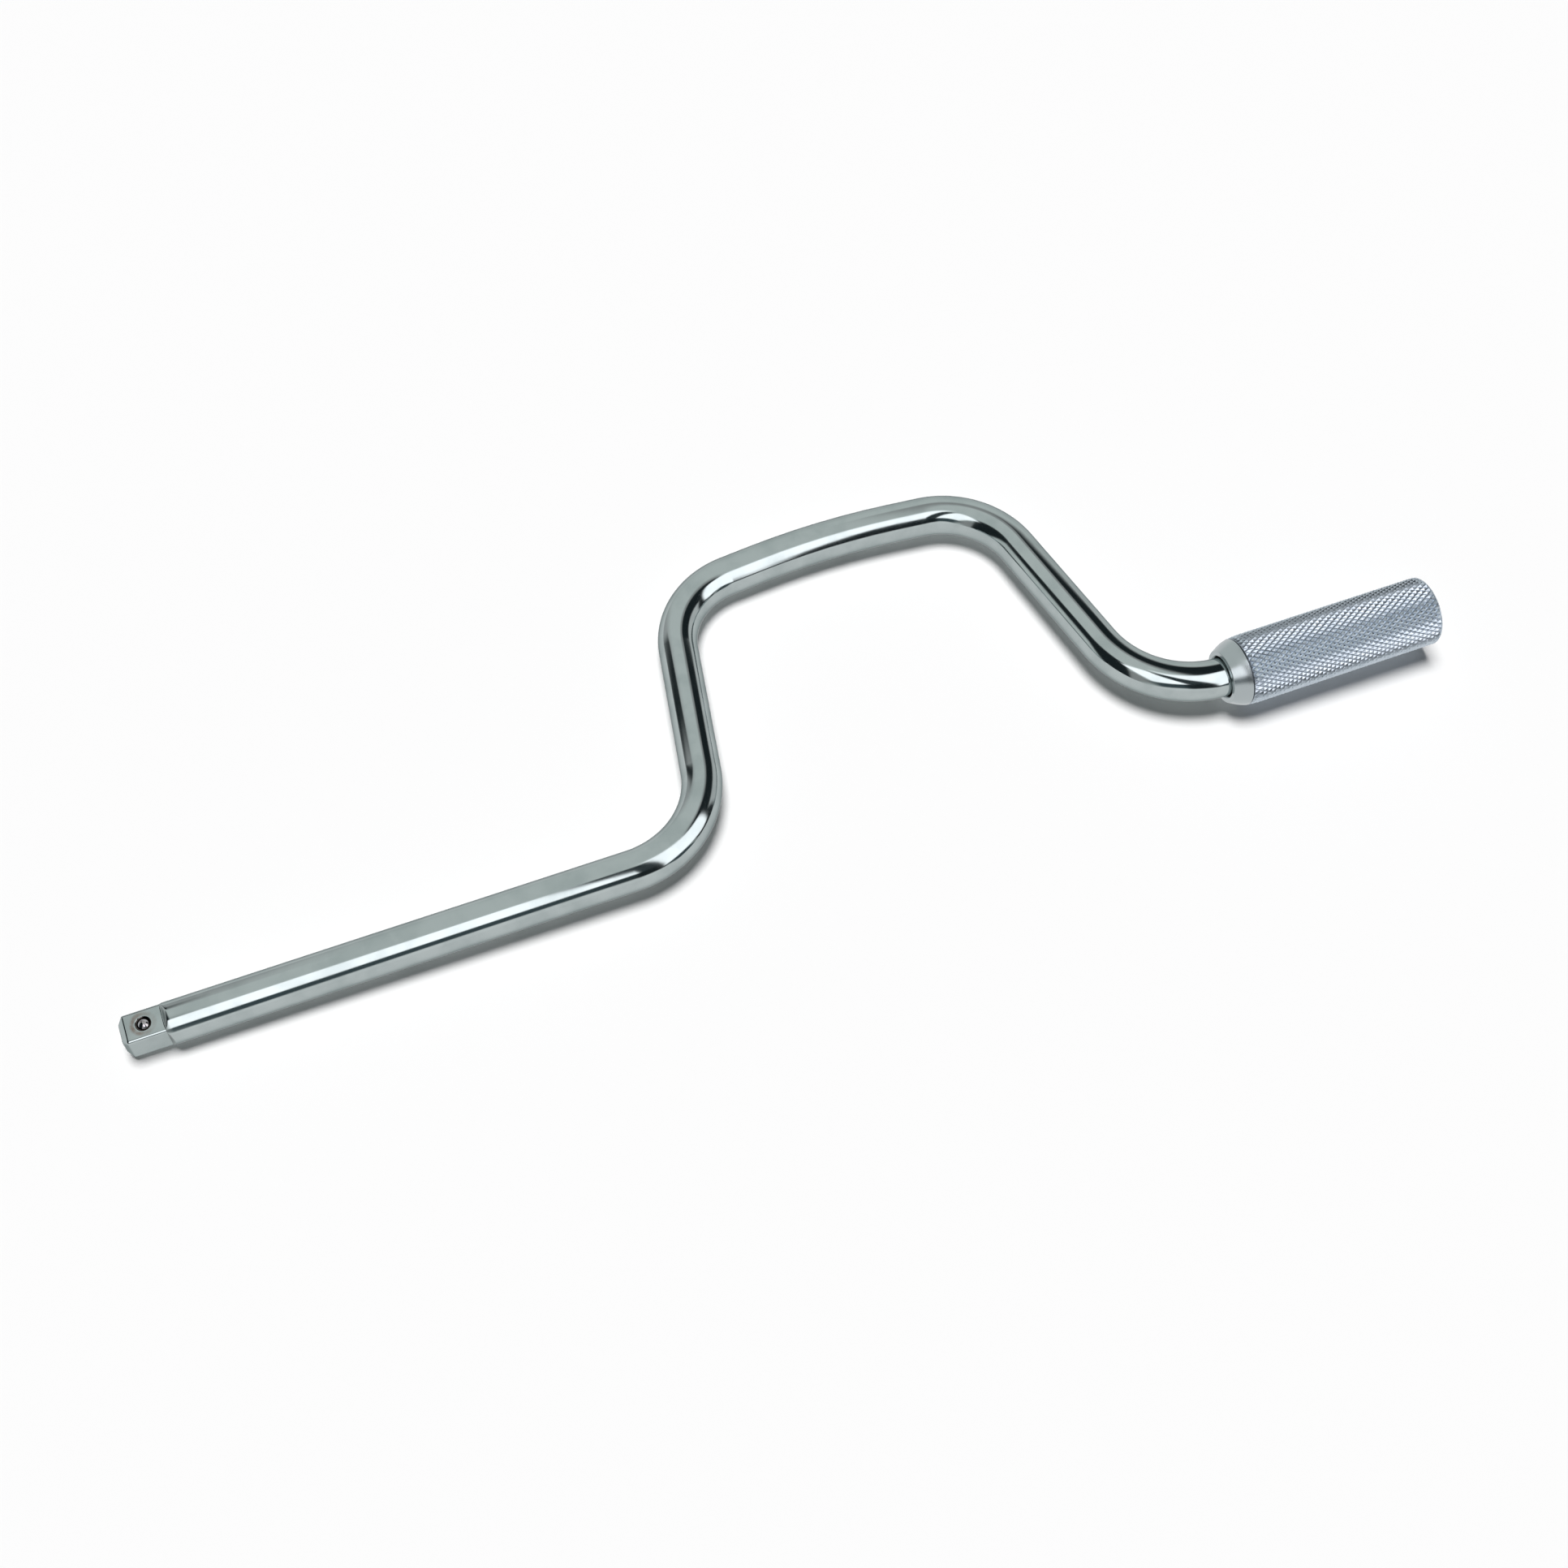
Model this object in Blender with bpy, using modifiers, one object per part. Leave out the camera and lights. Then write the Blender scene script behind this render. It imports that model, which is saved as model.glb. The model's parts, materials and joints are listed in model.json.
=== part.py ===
"""Speeder handle: a bent bar with a square drive and a sprung ball, and a grip that spins on the bar's end.

In the tool's own frame X runs along its axis from the drive square to the grip, with zero where the round
bar begins behind the square, Y runs toward the bow, and Z stands up from the plane of the crank.
"""

import math

import bmesh
import bpy
from mathutils import Matrix, Vector

MM = 0.001

# Round bar and drive square
BAR_DIAMETER = 12.7 * MM
SQUARE_WIDTH = 9.525 * MM
SQUARE_LENGTH = 12.6 * MM
SHOULDER_LEAN = 1.15 * MM
TIP_FACE_WIDTH = 6.0 * MM
TIP_BEVEL_LENGTH = 1.6 * MM
TIP_CORNER_DIAMETER = 7.9 * MM
TIP_CORNER_LENGTH = 1.8 * MM

# Crank, measured on the bar's centre line between sharp corners
DRIVE_REACH = 167.0 * MM
LEG_LEAN = 18.0 * MM
THROW = 91.0 * MM
BOW_LENGTH = 110.0 * MM
BOW_RISE = 5.4 * MM
END_BEND_RADIUS = 32.0 * MM
BOW_BEND_RADIUS = 28.0 * MM
BOW_CROWN_RADIUS = 250.0 * MM

# Sprung ball in the square's upper flat
BALL_DIAMETER = 3.97 * MM
BALL_STANDOUT = 0.7 * MM
BALL_FROM_SHOULDER = 5.6 * MM
BALL_CLEARANCE = 0.15 * MM
HOLE_DEPTH = 7.2 * MM
HOLE_POINT_DEPTH = 0.6 * MM
LIP_THICKNESS = 0.3 * MM
SPRING_DIAMETER = 3.4 * MM
SPRING_WIRE = 0.4 * MM
SPRING_TURNS = 4

# Grip sleeve
GRIP_DIAMETER = 22.6 * MM
GRIP_LENGTH = 73.2 * MM
MOUTH_REACH = 1.0 * MM
BORE_CLEARANCE = 0.4 * MM
BORE_CHAMFER = 0.4 * MM
NOSE_FACE_DIAMETER = 17.1 * MM
NOSE_LENGTH = 5.1 * MM
NOSE_BLEND_RADIUS = 13.6 * MM
NOSE_EDGE_RADIUS = 0.4 * MM
GROOVE_FROM_MOUTH = 5.4 * MM
GROOVE_WIDTH = 0.5 * MM
GROOVE_DEPTH = 0.3 * MM
REAR_EDGE_RADIUS = 0.5 * MM
CHAMBER_WALL = 2.1 * MM
PLUG_SEAT_STEP = 0.7 * MM

# Pieces inside the grip
PLUG_THICKNESS = 5.4 * MM
PLUG_RECESS = 0.4 * MM
PLUG_CHAMFER = 0.5 * MM
SEAT_CLEARANCE = 0.25 * MM
WASHER_THICKNESS = 1.0 * MM
RING_THICKNESS = 1.1 * MM
RING_DEPTH_IN_GROOVE = 0.55 * MM
RING_BAND = 1.8 * MM
RING_GAP_ANGLE = math.radians(50)
RING_LUG_ANGLE = math.radians(22)
RING_LUG_HEIGHT = 0.9 * MM
RING_HOLE_DIAMETER = 1.1 * MM
JOURNAL_TAIL = 5.0 * MM
JOURNAL_CHAMFER = 0.8 * MM

# Smoothness of the round forms
BAR_BEVEL_RESOLUTION = 16
ARC_STEP = math.radians(6)
TURNED_STEPS = 48
HOLE_STEPS = 32
WIRE_POINTS_PER_TURN = 10
EDGE_STEPS = 3
BLEND_STEPS = 8
RING_STEPS = 36
CUT_MARGIN = 2.0 * MM
WELD_DISTANCE = 0.001 * MM

# Sizes that follow from the ones above
BAR_RADIUS = BAR_DIAMETER / 2
GRIP_RADIUS = GRIP_DIAMETER / 2
BORE_RADIUS = BAR_RADIUS + BORE_CLEARANCE
CHAMBER_RADIUS = GRIP_RADIUS - CHAMBER_WALL
PLUG_SEAT_RADIUS = CHAMBER_RADIUS + PLUG_SEAT_STEP
PLUG_OUTER_FACE = GRIP_LENGTH - PLUG_RECESS
PLUG_INNER_FACE = PLUG_OUTER_FACE - PLUG_THICKNESS
PLUG_STEP = PLUG_INNER_FACE - SEAT_CLEARANCE
BAR_END = PLUG_INNER_FACE - SEAT_CLEARANCE
RING_REAR = BAR_END - JOURNAL_TAIL
RING_FRONT = RING_REAR - RING_THICKNESS
WASHER_REAR = RING_FRONT - SEAT_CLEARANCE
WASHER_FRONT = WASHER_REAR - WASHER_THICKNESS
CHAMBER_FRONT = WASHER_FRONT - SEAT_CLEARANCE
RING_INNER_RADIUS = BAR_RADIUS - RING_DEPTH_IN_GROOVE
RING_OUTER_RADIUS = RING_INNER_RADIUS + RING_BAND
BALL_RADIUS = BALL_DIAMETER / 2
BALL_HEIGHT = SQUARE_WIDTH / 2 + BALL_STANDOUT - BALL_RADIUS
HOLE_RADIUS = BALL_RADIUS + BALL_CLEARANCE
HOLE_FLOOR = SQUARE_WIDTH / 2 - HOLE_DEPTH


def clear_scene():
    """Remove everything that stands in the scene."""
    for scene_object in list(bpy.data.objects):
        bpy.data.objects.remove(scene_object, do_unlink=True)


def new_collection(name):
    """A collection in the scene."""
    collection = bpy.data.collections.new(name)
    bpy.context.scene.collection.children.link(collection)
    return collection


def metal(name, colour, roughness):
    """A bare or plated metal finish."""
    material = bpy.data.materials.new(name)
    material.use_nodes = True
    shader = material.node_tree.nodes["Principled BSDF"]
    shader.inputs["Base Color"].default_value = (*colour, 1.0)
    shader.inputs["Roughness"].default_value = roughness
    shader.inputs["Metallic"].default_value = 1.0
    return material


def add_empty(name, collection, parent=None, location=(0.0, 0.0, 0.0)):
    """An empty that carries pieces."""
    empty = bpy.data.objects.new(name, None)
    empty.empty_display_size = BAR_DIAMETER
    empty.parent = parent
    empty.location = location
    collection.objects.link(empty)
    return empty


def add_piece(name, mesh, collection, parent, material=None, location=(0.0, 0.0, 0.0)):
    """A mesh object, hung on its parent."""
    piece = bpy.data.objects.new(name, mesh)
    piece.parent = parent
    piece.location = location
    if material is not None:
        mesh.materials.append(material)
    collection.objects.link(piece)
    return piece


def as_cutter(piece):
    """Mark a solid as a cutter, which is no piece of the tool."""
    piece.hide_render = True
    piece.display_type = "WIRE"
    return piece


def cut(piece, cutter):
    """Take the cutter's space out of the piece."""
    boolean = piece.modifiers.new(cutter.name, "BOOLEAN")
    boolean.operation = "DIFFERENCE"
    boolean.solver = "EXACT"
    boolean.object = cutter


def evaluated_mesh(scene_object):
    """A copy of the object's mesh as it stands after its modifiers."""
    depsgraph = bpy.context.evaluated_depsgraph_get()
    return bpy.data.meshes.new_from_object(scene_object.evaluated_get(depsgraph))


def arc(centre, radius, first_angle, last_angle, steps):
    """Points on an arc about the centre, both ends included."""
    points = []
    for step in range(steps + 1):
        angle = first_angle + (last_angle - first_angle) * step / steps
        points.append((centre[0] + radius * math.cos(angle), centre[1] + radius * math.sin(angle)))
    return points


def swept_mesh(name, points, wire_radius, bevel_resolution, factors=None):
    """A round bar or wire along the points, as a closed mesh with welded caps."""
    curve = bpy.data.curves.new(name, "CURVE")
    curve.dimensions = "3D"
    curve.twist_mode = "Z_UP"
    curve.bevel_depth = wire_radius
    curve.bevel_resolution = bevel_resolution
    curve.use_fill_caps = True
    spline = curve.splines.new("POLY")
    spline.points.add(len(points) - 1)
    for index, point in enumerate(points):
        spline.points[index].co = (*point, 1.0)
        if factors is not None:
            spline.points[index].radius = factors[index]
    route = bpy.data.objects.new(name + "_route", curve)
    bpy.context.scene.collection.objects.link(route)
    mesh = evaluated_mesh(route)
    bpy.data.objects.remove(route, do_unlink=True)
    shape = bmesh.new()
    shape.from_mesh(mesh)
    bmesh.ops.remove_doubles(shape, verts=shape.verts, dist=WELD_DISTANCE)
    shape.to_mesh(mesh)
    shape.free()
    mesh.shade_smooth()
    mesh.set_sharp_from_angle(angle=math.radians(30))
    return mesh


def profile_area(profile):
    """Signed area inside a profile of points along the axis and out from it."""
    area = 0.0
    for (x, r), (next_x, next_r) in zip(profile, profile[1:] + profile[:1]):
        area += (x * next_r - next_x * r) / 2
    return area


def turned(piece, profile, steps, axis, closed):
    """Give the piece a profile, as (along the axis, radius) points, turned about its own axis."""
    outline = list(profile)
    if profile_area(outline) < 0:
        outline.reverse()
    shape = bmesh.new()
    verts = []
    for along, radius in outline:
        place = (along, radius, 0.0) if axis == "X" else (radius, 0.0, along)
        verts.append(shape.verts.new(place))
    for first, second in zip(verts, verts[1:]):
        shape.edges.new((first, second))
    if closed:
        shape.edges.new((verts[-1], verts[0]))
    shape.to_mesh(piece.data)
    shape.free()
    screw = piece.modifiers.new("turned", "SCREW")
    screw.axis = axis
    screw.angle = 2 * math.pi
    screw.steps = steps
    screw.render_steps = steps
    screw.use_merge_vertices = True
    screw.merge_threshold = WELD_DISTANCE
    screw.use_smooth_shade = True
    return piece


def crank_corners():
    """Sharp corners of the bar's centre line, with the straight ends' directions as first and last points."""
    bow_start = DRIVE_REACH + LEG_LEAN
    bow_end = bow_start + BOW_LENGTH
    return [
        Vector((0.0, 0.0)),
        Vector((DRIVE_REACH, 0.0)),
        Vector((bow_start, THROW)),
        Vector(((bow_start + bow_end) / 2, THROW + BOW_RISE)),
        Vector((bow_end, THROW)),
        Vector((bow_end + LEG_LEAN, 0.0)),
        Vector((2 * bow_end, 0.0)),
    ]


def crank_bends():
    """Points on the bends of the bar's centre line, from the drive end to the grip."""
    corners = crank_corners()
    radii = [END_BEND_RADIUS, BOW_BEND_RADIUS, BOW_CROWN_RADIUS, BOW_BEND_RADIUS, END_BEND_RADIUS]
    points = []
    for before, corner, after, radius in zip(corners, corners[1:], corners[2:], radii):
        arriving = (corner - before).normalized()
        leaving = (after - corner).normalized()
        turn = arriving.angle(leaving)
        side = math.copysign(1.0, arriving.cross(leaving))
        inward = Vector((-arriving.y, arriving.x)) * side
        start = corner - arriving * radius * math.tan(turn / 2)
        steps = math.ceil(turn / ARC_STEP)
        for step in range(steps + 1):
            angle = turn * step / steps
            across = inward * radius * (1 - math.cos(angle))
            points.append(start + arriving * radius * math.sin(angle) + across)
    return points


def mouth_position():
    """Place of the grip's mouth on the tool's axis, just over the end of the last bend."""
    return crank_bends()[-1].x - MOUTH_REACH


def bar_blank():
    """The bent round bar, chamfered at both ends, before anything is cut into it."""
    end = mouth_position() + BAR_END
    route = [Vector((-SQUARE_LENGTH, 0.0)), Vector((TIP_CORNER_LENGTH - SQUARE_LENGTH, 0.0))]
    route += crank_bends()
    route += [Vector((end - JOURNAL_CHAMFER, 0.0)), Vector((end, 0.0))]
    factors = [1.0] * len(route)
    factors[0] = TIP_CORNER_DIAMETER / BAR_DIAMETER
    factors[-1] = (BAR_RADIUS - JOURNAL_CHAMFER) / BAR_RADIUS
    points = [(place.x, place.y, 0.0) for place in route]
    return swept_mesh("crank_bar", points, BAR_RADIUS, BAR_BEVEL_RESOLUTION, factors)


def flat_cutter_outline():
    """Section of the cutter that mills one flat, with its leaning shoulder and its bevel at the tip."""
    half_width = SQUARE_WIDTH / 2
    outer = BAR_RADIUS + CUT_MARGIN
    lean = SHOULDER_LEAN * (outer - half_width) / (BAR_RADIUS - half_width)
    past_tip = -SQUARE_LENGTH - CUT_MARGIN
    bevel_slope = (half_width - TIP_FACE_WIDTH / 2) / TIP_BEVEL_LENGTH
    bevel_drop = bevel_slope * (TIP_BEVEL_LENGTH + CUT_MARGIN)
    return [
        (lean, outer),
        (0.0, half_width),
        (TIP_BEVEL_LENGTH - SQUARE_LENGTH, half_width),
        (past_tip, half_width - bevel_drop),
        (past_tip, outer),
    ]


def flat_cutter_mesh():
    """A block with the cutter's section, wider than the bar."""
    outer = BAR_RADIUS + CUT_MARGIN
    block = bmesh.new()
    section = [block.verts.new((along, -outer, height)) for along, height in flat_cutter_outline()]
    side = block.faces.new(section)
    grown = bmesh.ops.extrude_face_region(block, geom=[side])["geom"]
    far_side = [item for item in grown if isinstance(item, bmesh.types.BMVert)]
    bmesh.ops.translate(block, verts=far_side, vec=(0.0, 2 * outer, 0.0))
    bmesh.ops.recalc_face_normals(block, faces=block.faces)
    mesh = bpy.data.meshes.new("flat_cutter")
    block.to_mesh(mesh)
    block.free()
    return mesh


def ball_hole_profile():
    """The blind hole for ball and spring, with the staked lip that keeps the ball in."""
    lip_underside = SQUARE_WIDTH / 2 - LIP_THICKNESS
    lip_radius = math.sqrt((BALL_RADIUS + BALL_CLEARANCE) ** 2 - (lip_underside - BALL_HEIGHT) ** 2)
    top = BAR_RADIUS + CUT_MARGIN
    return [
        (top, 0.0),
        (top, lip_radius),
        (lip_underside, lip_radius),
        (lip_underside, HOLE_RADIUS),
        (HOLE_FLOOR, HOLE_RADIUS),
        (HOLE_FLOOR - HOLE_POINT_DEPTH, 0.0),
    ]


def ring_groove_profile():
    """The groove in the journal, wider and deeper than the retaining ring by the seat's clearance."""
    front = RING_FRONT - SEAT_CLEARANCE
    rear = RING_REAR + SEAT_CLEARANCE
    bottom = RING_INNER_RADIUS - SEAT_CLEARANCE
    top = BAR_RADIUS + CUT_MARGIN
    return [(front, bottom), (front, top), (rear, top), (rear, bottom)]


def make_crank_bar(parts, cutters, frame, finish):
    """The bar with its drive square, ball hole and ring groove cut."""
    bar = add_piece("crank_bar", bar_blank(), parts, frame, finish)
    flat_mesh = flat_cutter_mesh()
    for quarter in range(4):
        flat = add_piece(f"flat_cutter_{quarter}", flat_mesh, cutters, frame)
        flat.rotation_euler = (quarter * math.pi / 2, 0.0, 0.0)
        cut(bar, as_cutter(flat))
    hole_mesh = bpy.data.meshes.new("ball_hole_cutter")
    hole = add_piece("ball_hole_cutter", hole_mesh, cutters, frame, location=(-BALL_FROM_SHOULDER, 0.0, 0.0))
    cut(bar, as_cutter(turned(hole, ball_hole_profile(), HOLE_STEPS, "Z", closed=False)))
    groove_mesh = bpy.data.meshes.new("ring_groove_cutter")
    place = (mouth_position(), 0.0, 0.0)
    groove = add_piece("ring_groove_cutter", groove_mesh, cutters, frame, location=place)
    cut(bar, as_cutter(turned(groove, ring_groove_profile(), TURNED_STEPS, "X", closed=True)))
    return bar


def make_detent_ball(parts, frame, finish):
    """The ball, with its origin at its own centre on the line it slides along."""
    shape = bmesh.new()
    bmesh.ops.create_uvsphere(shape, u_segments=24, v_segments=14, radius=BALL_RADIUS)
    mesh = bpy.data.meshes.new("detent_ball")
    shape.to_mesh(mesh)
    shape.free()
    mesh.shade_smooth()
    return add_piece("detent_ball", mesh, parts, frame, finish, (-BALL_FROM_SHOULDER, 0.0, BALL_HEIGHT))


def spring_route():
    """Points of the helix, from the hole's floor to the ring where the coil meets the ball."""
    coil_radius = (SPRING_DIAMETER - SPRING_WIRE) / 2
    reach = BALL_RADIUS + SPRING_WIRE / 2 + BALL_CLEARANCE
    bottom = HOLE_FLOOR + SPRING_WIRE / 2 + BALL_CLEARANCE
    top = BALL_HEIGHT - math.sqrt(reach ** 2 - coil_radius ** 2)
    count = SPRING_TURNS * WIRE_POINTS_PER_TURN
    points = []
    for index in range(count + 1):
        angle = 2 * math.pi * index / WIRE_POINTS_PER_TURN
        height = bottom + (top - bottom) * index / count
        points.append(Vector((coil_radius * math.cos(angle), coil_radius * math.sin(angle), height)))
    return points


def least_coil_gap(points):
    """Least space between the wire and itself, past half a turn along it."""
    gaps = []
    for index, point in enumerate(points):
        for other in points[index + WIRE_POINTS_PER_TURN // 2:]:
            gaps.append((other - point).length - SPRING_WIRE)
    return min(gaps)


def make_detent_spring(parts, frame, finish):
    """The compression spring under the ball, one unbroken helix."""
    route = spring_route()
    print(f"detent_spring least gap to itself: {least_coil_gap(route) / MM:.2f} mm")
    mesh = swept_mesh("detent_spring", route, SPRING_WIRE / 2, 1)
    return add_piece("detent_spring", mesh, parts, frame, finish, (-BALL_FROM_SHOULDER, 0.0, 0.0))


def nose_outline():
    """The grip's nose from its front face to full diameter: edge round, cone and large blend."""
    face_radius = NOSE_FACE_DIAMETER / 2
    slope = math.atan2(GRIP_RADIUS - face_radius, NOSE_LENGTH)
    edge_run = NOSE_EDGE_RADIUS * math.tan((math.pi / 2 - slope) / 2)
    edge_centre = (NOSE_EDGE_RADIUS, face_radius - edge_run)
    points = arc(edge_centre, NOSE_EDGE_RADIUS, math.pi, math.pi / 2 + slope, EDGE_STEPS)
    blend_run = NOSE_BLEND_RADIUS * math.tan(slope / 2)
    blend_centre = (NOSE_LENGTH + blend_run, GRIP_RADIUS - NOSE_BLEND_RADIUS)
    points += arc(blend_centre, NOSE_BLEND_RADIUS, math.pi / 2 + slope, math.pi / 2, BLEND_STEPS)
    return points


def outline_radius(outline, along):
    """Radius of a turned outline at a place along the axis."""
    for (x, r), (next_x, next_r) in zip(outline, outline[1:]):
        if x <= along <= next_x:
            return r + (next_r - r) * (along - x) / (next_x - x)
    return outline[-1][1]


def with_groove(outline):
    """The nose's outline with the thin groove that ends the knurl."""
    start = GROOVE_FROM_MOUTH
    end = GROOVE_FROM_MOUTH + GROOVE_WIDTH
    start_radius = outline_radius(outline, start)
    end_radius = outline_radius(outline, end)
    groove = [
        (start, start_radius),
        ((start + end) / 2, (start_radius + end_radius) / 2 - GROOVE_DEPTH),
        (end, end_radius),
    ]
    before = [point for point in outline if point[0] < start]
    after = [point for point in outline if point[0] > end]
    return before + groove + after


def sleeve_profile():
    """The grip's section: nose, body and rear edge outside; plug seat, chamber and journal bore inside."""
    outside = with_groove(nose_outline())
    edge_centre = (GRIP_LENGTH - REAR_EDGE_RADIUS, GRIP_RADIUS - REAR_EDGE_RADIUS)
    outside += arc(edge_centre, REAR_EDGE_RADIUS, math.pi / 2, 0.0, EDGE_STEPS)
    inside = [
        (GRIP_LENGTH, PLUG_SEAT_RADIUS),
        (PLUG_STEP, PLUG_SEAT_RADIUS),
        (PLUG_STEP, CHAMBER_RADIUS),
        (CHAMBER_FRONT, CHAMBER_RADIUS),
        (CHAMBER_FRONT, BORE_RADIUS),
        (BORE_CHAMFER, BORE_RADIUS),
        (0.0, BORE_RADIUS + BORE_CHAMFER),
    ]
    return outside + inside


def plug_profile():
    """The plug's section, chamfered on both faces."""
    radius = PLUG_SEAT_RADIUS - SEAT_CLEARANCE
    return [
        (PLUG_INNER_FACE, 0.0),
        (PLUG_INNER_FACE, radius - PLUG_CHAMFER),
        (PLUG_INNER_FACE + PLUG_CHAMFER, radius),
        (PLUG_OUTER_FACE - PLUG_CHAMFER, radius),
        (PLUG_OUTER_FACE, radius - PLUG_CHAMFER),
        (PLUG_OUTER_FACE, 0.0),
    ]


def washer_profile():
    """The flat washer's section, loose on the journal and in the chamber."""
    inner = BAR_RADIUS + SEAT_CLEARANCE
    outer = CHAMBER_RADIUS - BORE_CLEARANCE
    return [(WASHER_FRONT, inner), (WASHER_FRONT, outer), (WASHER_REAR, outer), (WASHER_REAR, inner)]


def make_turned_piece(name, profile, closed, parts, carrier, finish):
    """A piece turned about the tool's axis, with its origin on that axis at the grip's mouth."""
    piece = add_piece(name, bpy.data.meshes.new(name), parts, carrier, finish)
    return turned(piece, profile, TURNED_STEPS, "X", closed)


def ring_outline():
    """The open snap ring: a band that thickens to a lug at each end of its gap."""
    first = RING_GAP_ANGLE / 2
    last = 2 * math.pi - first
    outer = []
    inner = []
    for step in range(RING_STEPS + 1):
        angle = first + (last - first) * step / RING_STEPS
        from_end = min(angle - first, last - angle)
        height = RING_LUG_HEIGHT if from_end < RING_LUG_ANGLE else 0.0
        radius = RING_OUTER_RADIUS + height
        outer.append((radius * math.cos(angle), radius * math.sin(angle)))
        inner.append((RING_INNER_RADIUS * math.cos(angle), RING_INNER_RADIUS * math.sin(angle)))
    return outer + inner[::-1]


def lug_hole_outlines():
    """The round holes in the ring's two lugs."""
    angle = (RING_GAP_ANGLE + RING_LUG_ANGLE) / 2
    radius = (RING_INNER_RADIUS + RING_OUTER_RADIUS + RING_LUG_HEIGHT) / 2
    holes = []
    for side in (1, -1):
        centre = (radius * math.cos(angle), side * radius * math.sin(angle))
        holes.append(arc(centre, RING_HOLE_DIAMETER / 2, 0.0, 2 * math.pi, 12)[:-1])
    return holes


def make_retaining_ring(parts, carrier, finish):
    """The snap ring, a flat outline with the ring's thickness, standing square to the tool's axis."""
    curve = bpy.data.curves.new("retaining_ring", "CURVE")
    curve.dimensions = "2D"
    curve.fill_mode = "BOTH"
    curve.extrude = RING_THICKNESS / 2
    for outline in [ring_outline()] + lug_hole_outlines():
        spline = curve.splines.new("POLY")
        spline.points.add(len(outline) - 1)
        spline.use_cyclic_u = True
        for point, place in zip(spline.points, outline):
            point.co = (*place, 0.0, 1.0)
    flat = bpy.data.objects.new("retaining_ring_outline", curve)
    bpy.context.scene.collection.objects.link(flat)
    mesh = evaluated_mesh(flat)
    bpy.data.objects.remove(flat, do_unlink=True)
    shape = bmesh.new()
    shape.from_mesh(mesh)
    bmesh.ops.remove_doubles(shape, verts=shape.verts, dist=WELD_DISTANCE)
    shape.to_mesh(mesh)
    shape.free()
    middle = (RING_FRONT + RING_REAR) / 2
    ring = add_piece("retaining_ring", mesh, parts, carrier, finish, (middle, 0.0, 0.0))
    ring.rotation_euler = (0.0, math.pi / 2, 0.0)
    return ring


def rest_rotation():
    """Turn that lays the tool on a floor, on the bar behind the square, the grip's nose and the bow."""
    blend_slope = math.atan2(GRIP_RADIUS - NOSE_FACE_DIAMETER / 2, NOSE_LENGTH)
    full_diameter = mouth_position() + NOSE_LENGTH + NOSE_BLEND_RADIUS * math.tan(blend_slope / 2)
    along = (GRIP_RADIUS - BAR_RADIUS) / (full_diameter - SHOULDER_LEAN)
    bow = [place for place in crank_bends() if place.y > THROW / 2]
    across = min(along * (place.x - SHOULDER_LEAN) / place.y for place in bow)
    up = Vector((along, -across, 1.0)).normalized()
    toward_bow = up.cross(Vector((1.0, 0.0, 0.0))).normalized()
    forward = toward_bow.cross(up)
    return Matrix((forward, toward_bow, up)).to_4x4()


def lay_on_floor(frame, parts):
    """Set the tool down with the middle of its box over the origin and its lowest points on the floor."""
    turn = rest_rotation()
    depsgraph = bpy.context.evaluated_depsgraph_get()
    places = []
    for piece in parts.objects:
        if piece.type == "MESH":
            evaluated = piece.evaluated_get(depsgraph)
            to_floor = turn @ piece.matrix_world
            places += [to_floor @ vert.co for vert in evaluated.data.vertices]
    low = Vector([min(place[axis] for place in places) for axis in range(3)])
    high = Vector([max(place[axis] for place in places) for axis in range(3)])
    middle = (low + high) / 2
    shift = Matrix.Translation((-middle.x, -middle.y, -low.z))
    frame.matrix_world = shift @ turn


def main():
    """Build every piece in the tool's own frame, then lay the tool down."""
    clear_scene()
    parts = new_collection("speeder_handle")
    cutters = new_collection("speeder_handle_cutters")
    polished_chrome = metal("polished_chrome", (0.60, 0.64, 0.64), 0.08)
    satin_chrome = metal("satin_chrome", (0.58, 0.61, 0.63), 0.30)
    ball_steel = metal("ball_steel", (0.32, 0.32, 0.38), 0.12)
    spring_steel = metal("spring_steel", (0.30, 0.30, 0.31), 0.35)
    ring_steel = metal("ring_steel", (0.12, 0.12, 0.13), 0.45)
    washer_steel = metal("washer_steel", (0.50, 0.50, 0.50), 0.35)
    plug_chrome = metal("plug_chrome", (0.58, 0.61, 0.62), 0.20)
    frame = add_empty("tool_frame", parts)
    spin = add_empty("grip_spin", parts, frame, (mouth_position(), 0.0, 0.0))
    make_crank_bar(parts, cutters, frame, polished_chrome)
    make_detent_ball(parts, frame, ball_steel)
    make_detent_spring(parts, frame, spring_steel)
    make_turned_piece("grip_sleeve", sleeve_profile(), True, parts, spin, satin_chrome)
    make_turned_piece("thrust_washer", washer_profile(), True, parts, spin, washer_steel)
    make_retaining_ring(parts, spin, ring_steel)
    make_turned_piece("end_plug", plug_profile(), False, parts, spin, plug_chrome)
    lay_on_floor(frame, parts)


main()
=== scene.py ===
"""Speeder handle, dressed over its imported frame: chromed crank bar, sprung ball and knurled spinning grip.

Lengths are millimetres times MM. Each piece is modelled in the tool's own frame, where X runs along the axis
from the drive square to the grip with zero at the shoulder behind the square, Y runs toward the bow and Z
stands up from the plane of the crank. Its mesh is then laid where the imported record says.
"""

import json
import logging
import math
from dataclasses import dataclass
from enum import Enum
from functools import partial
from typing import Any, Callable

import bmesh
import bpy
from mathutils import Euler, Matrix, Vector

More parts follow.
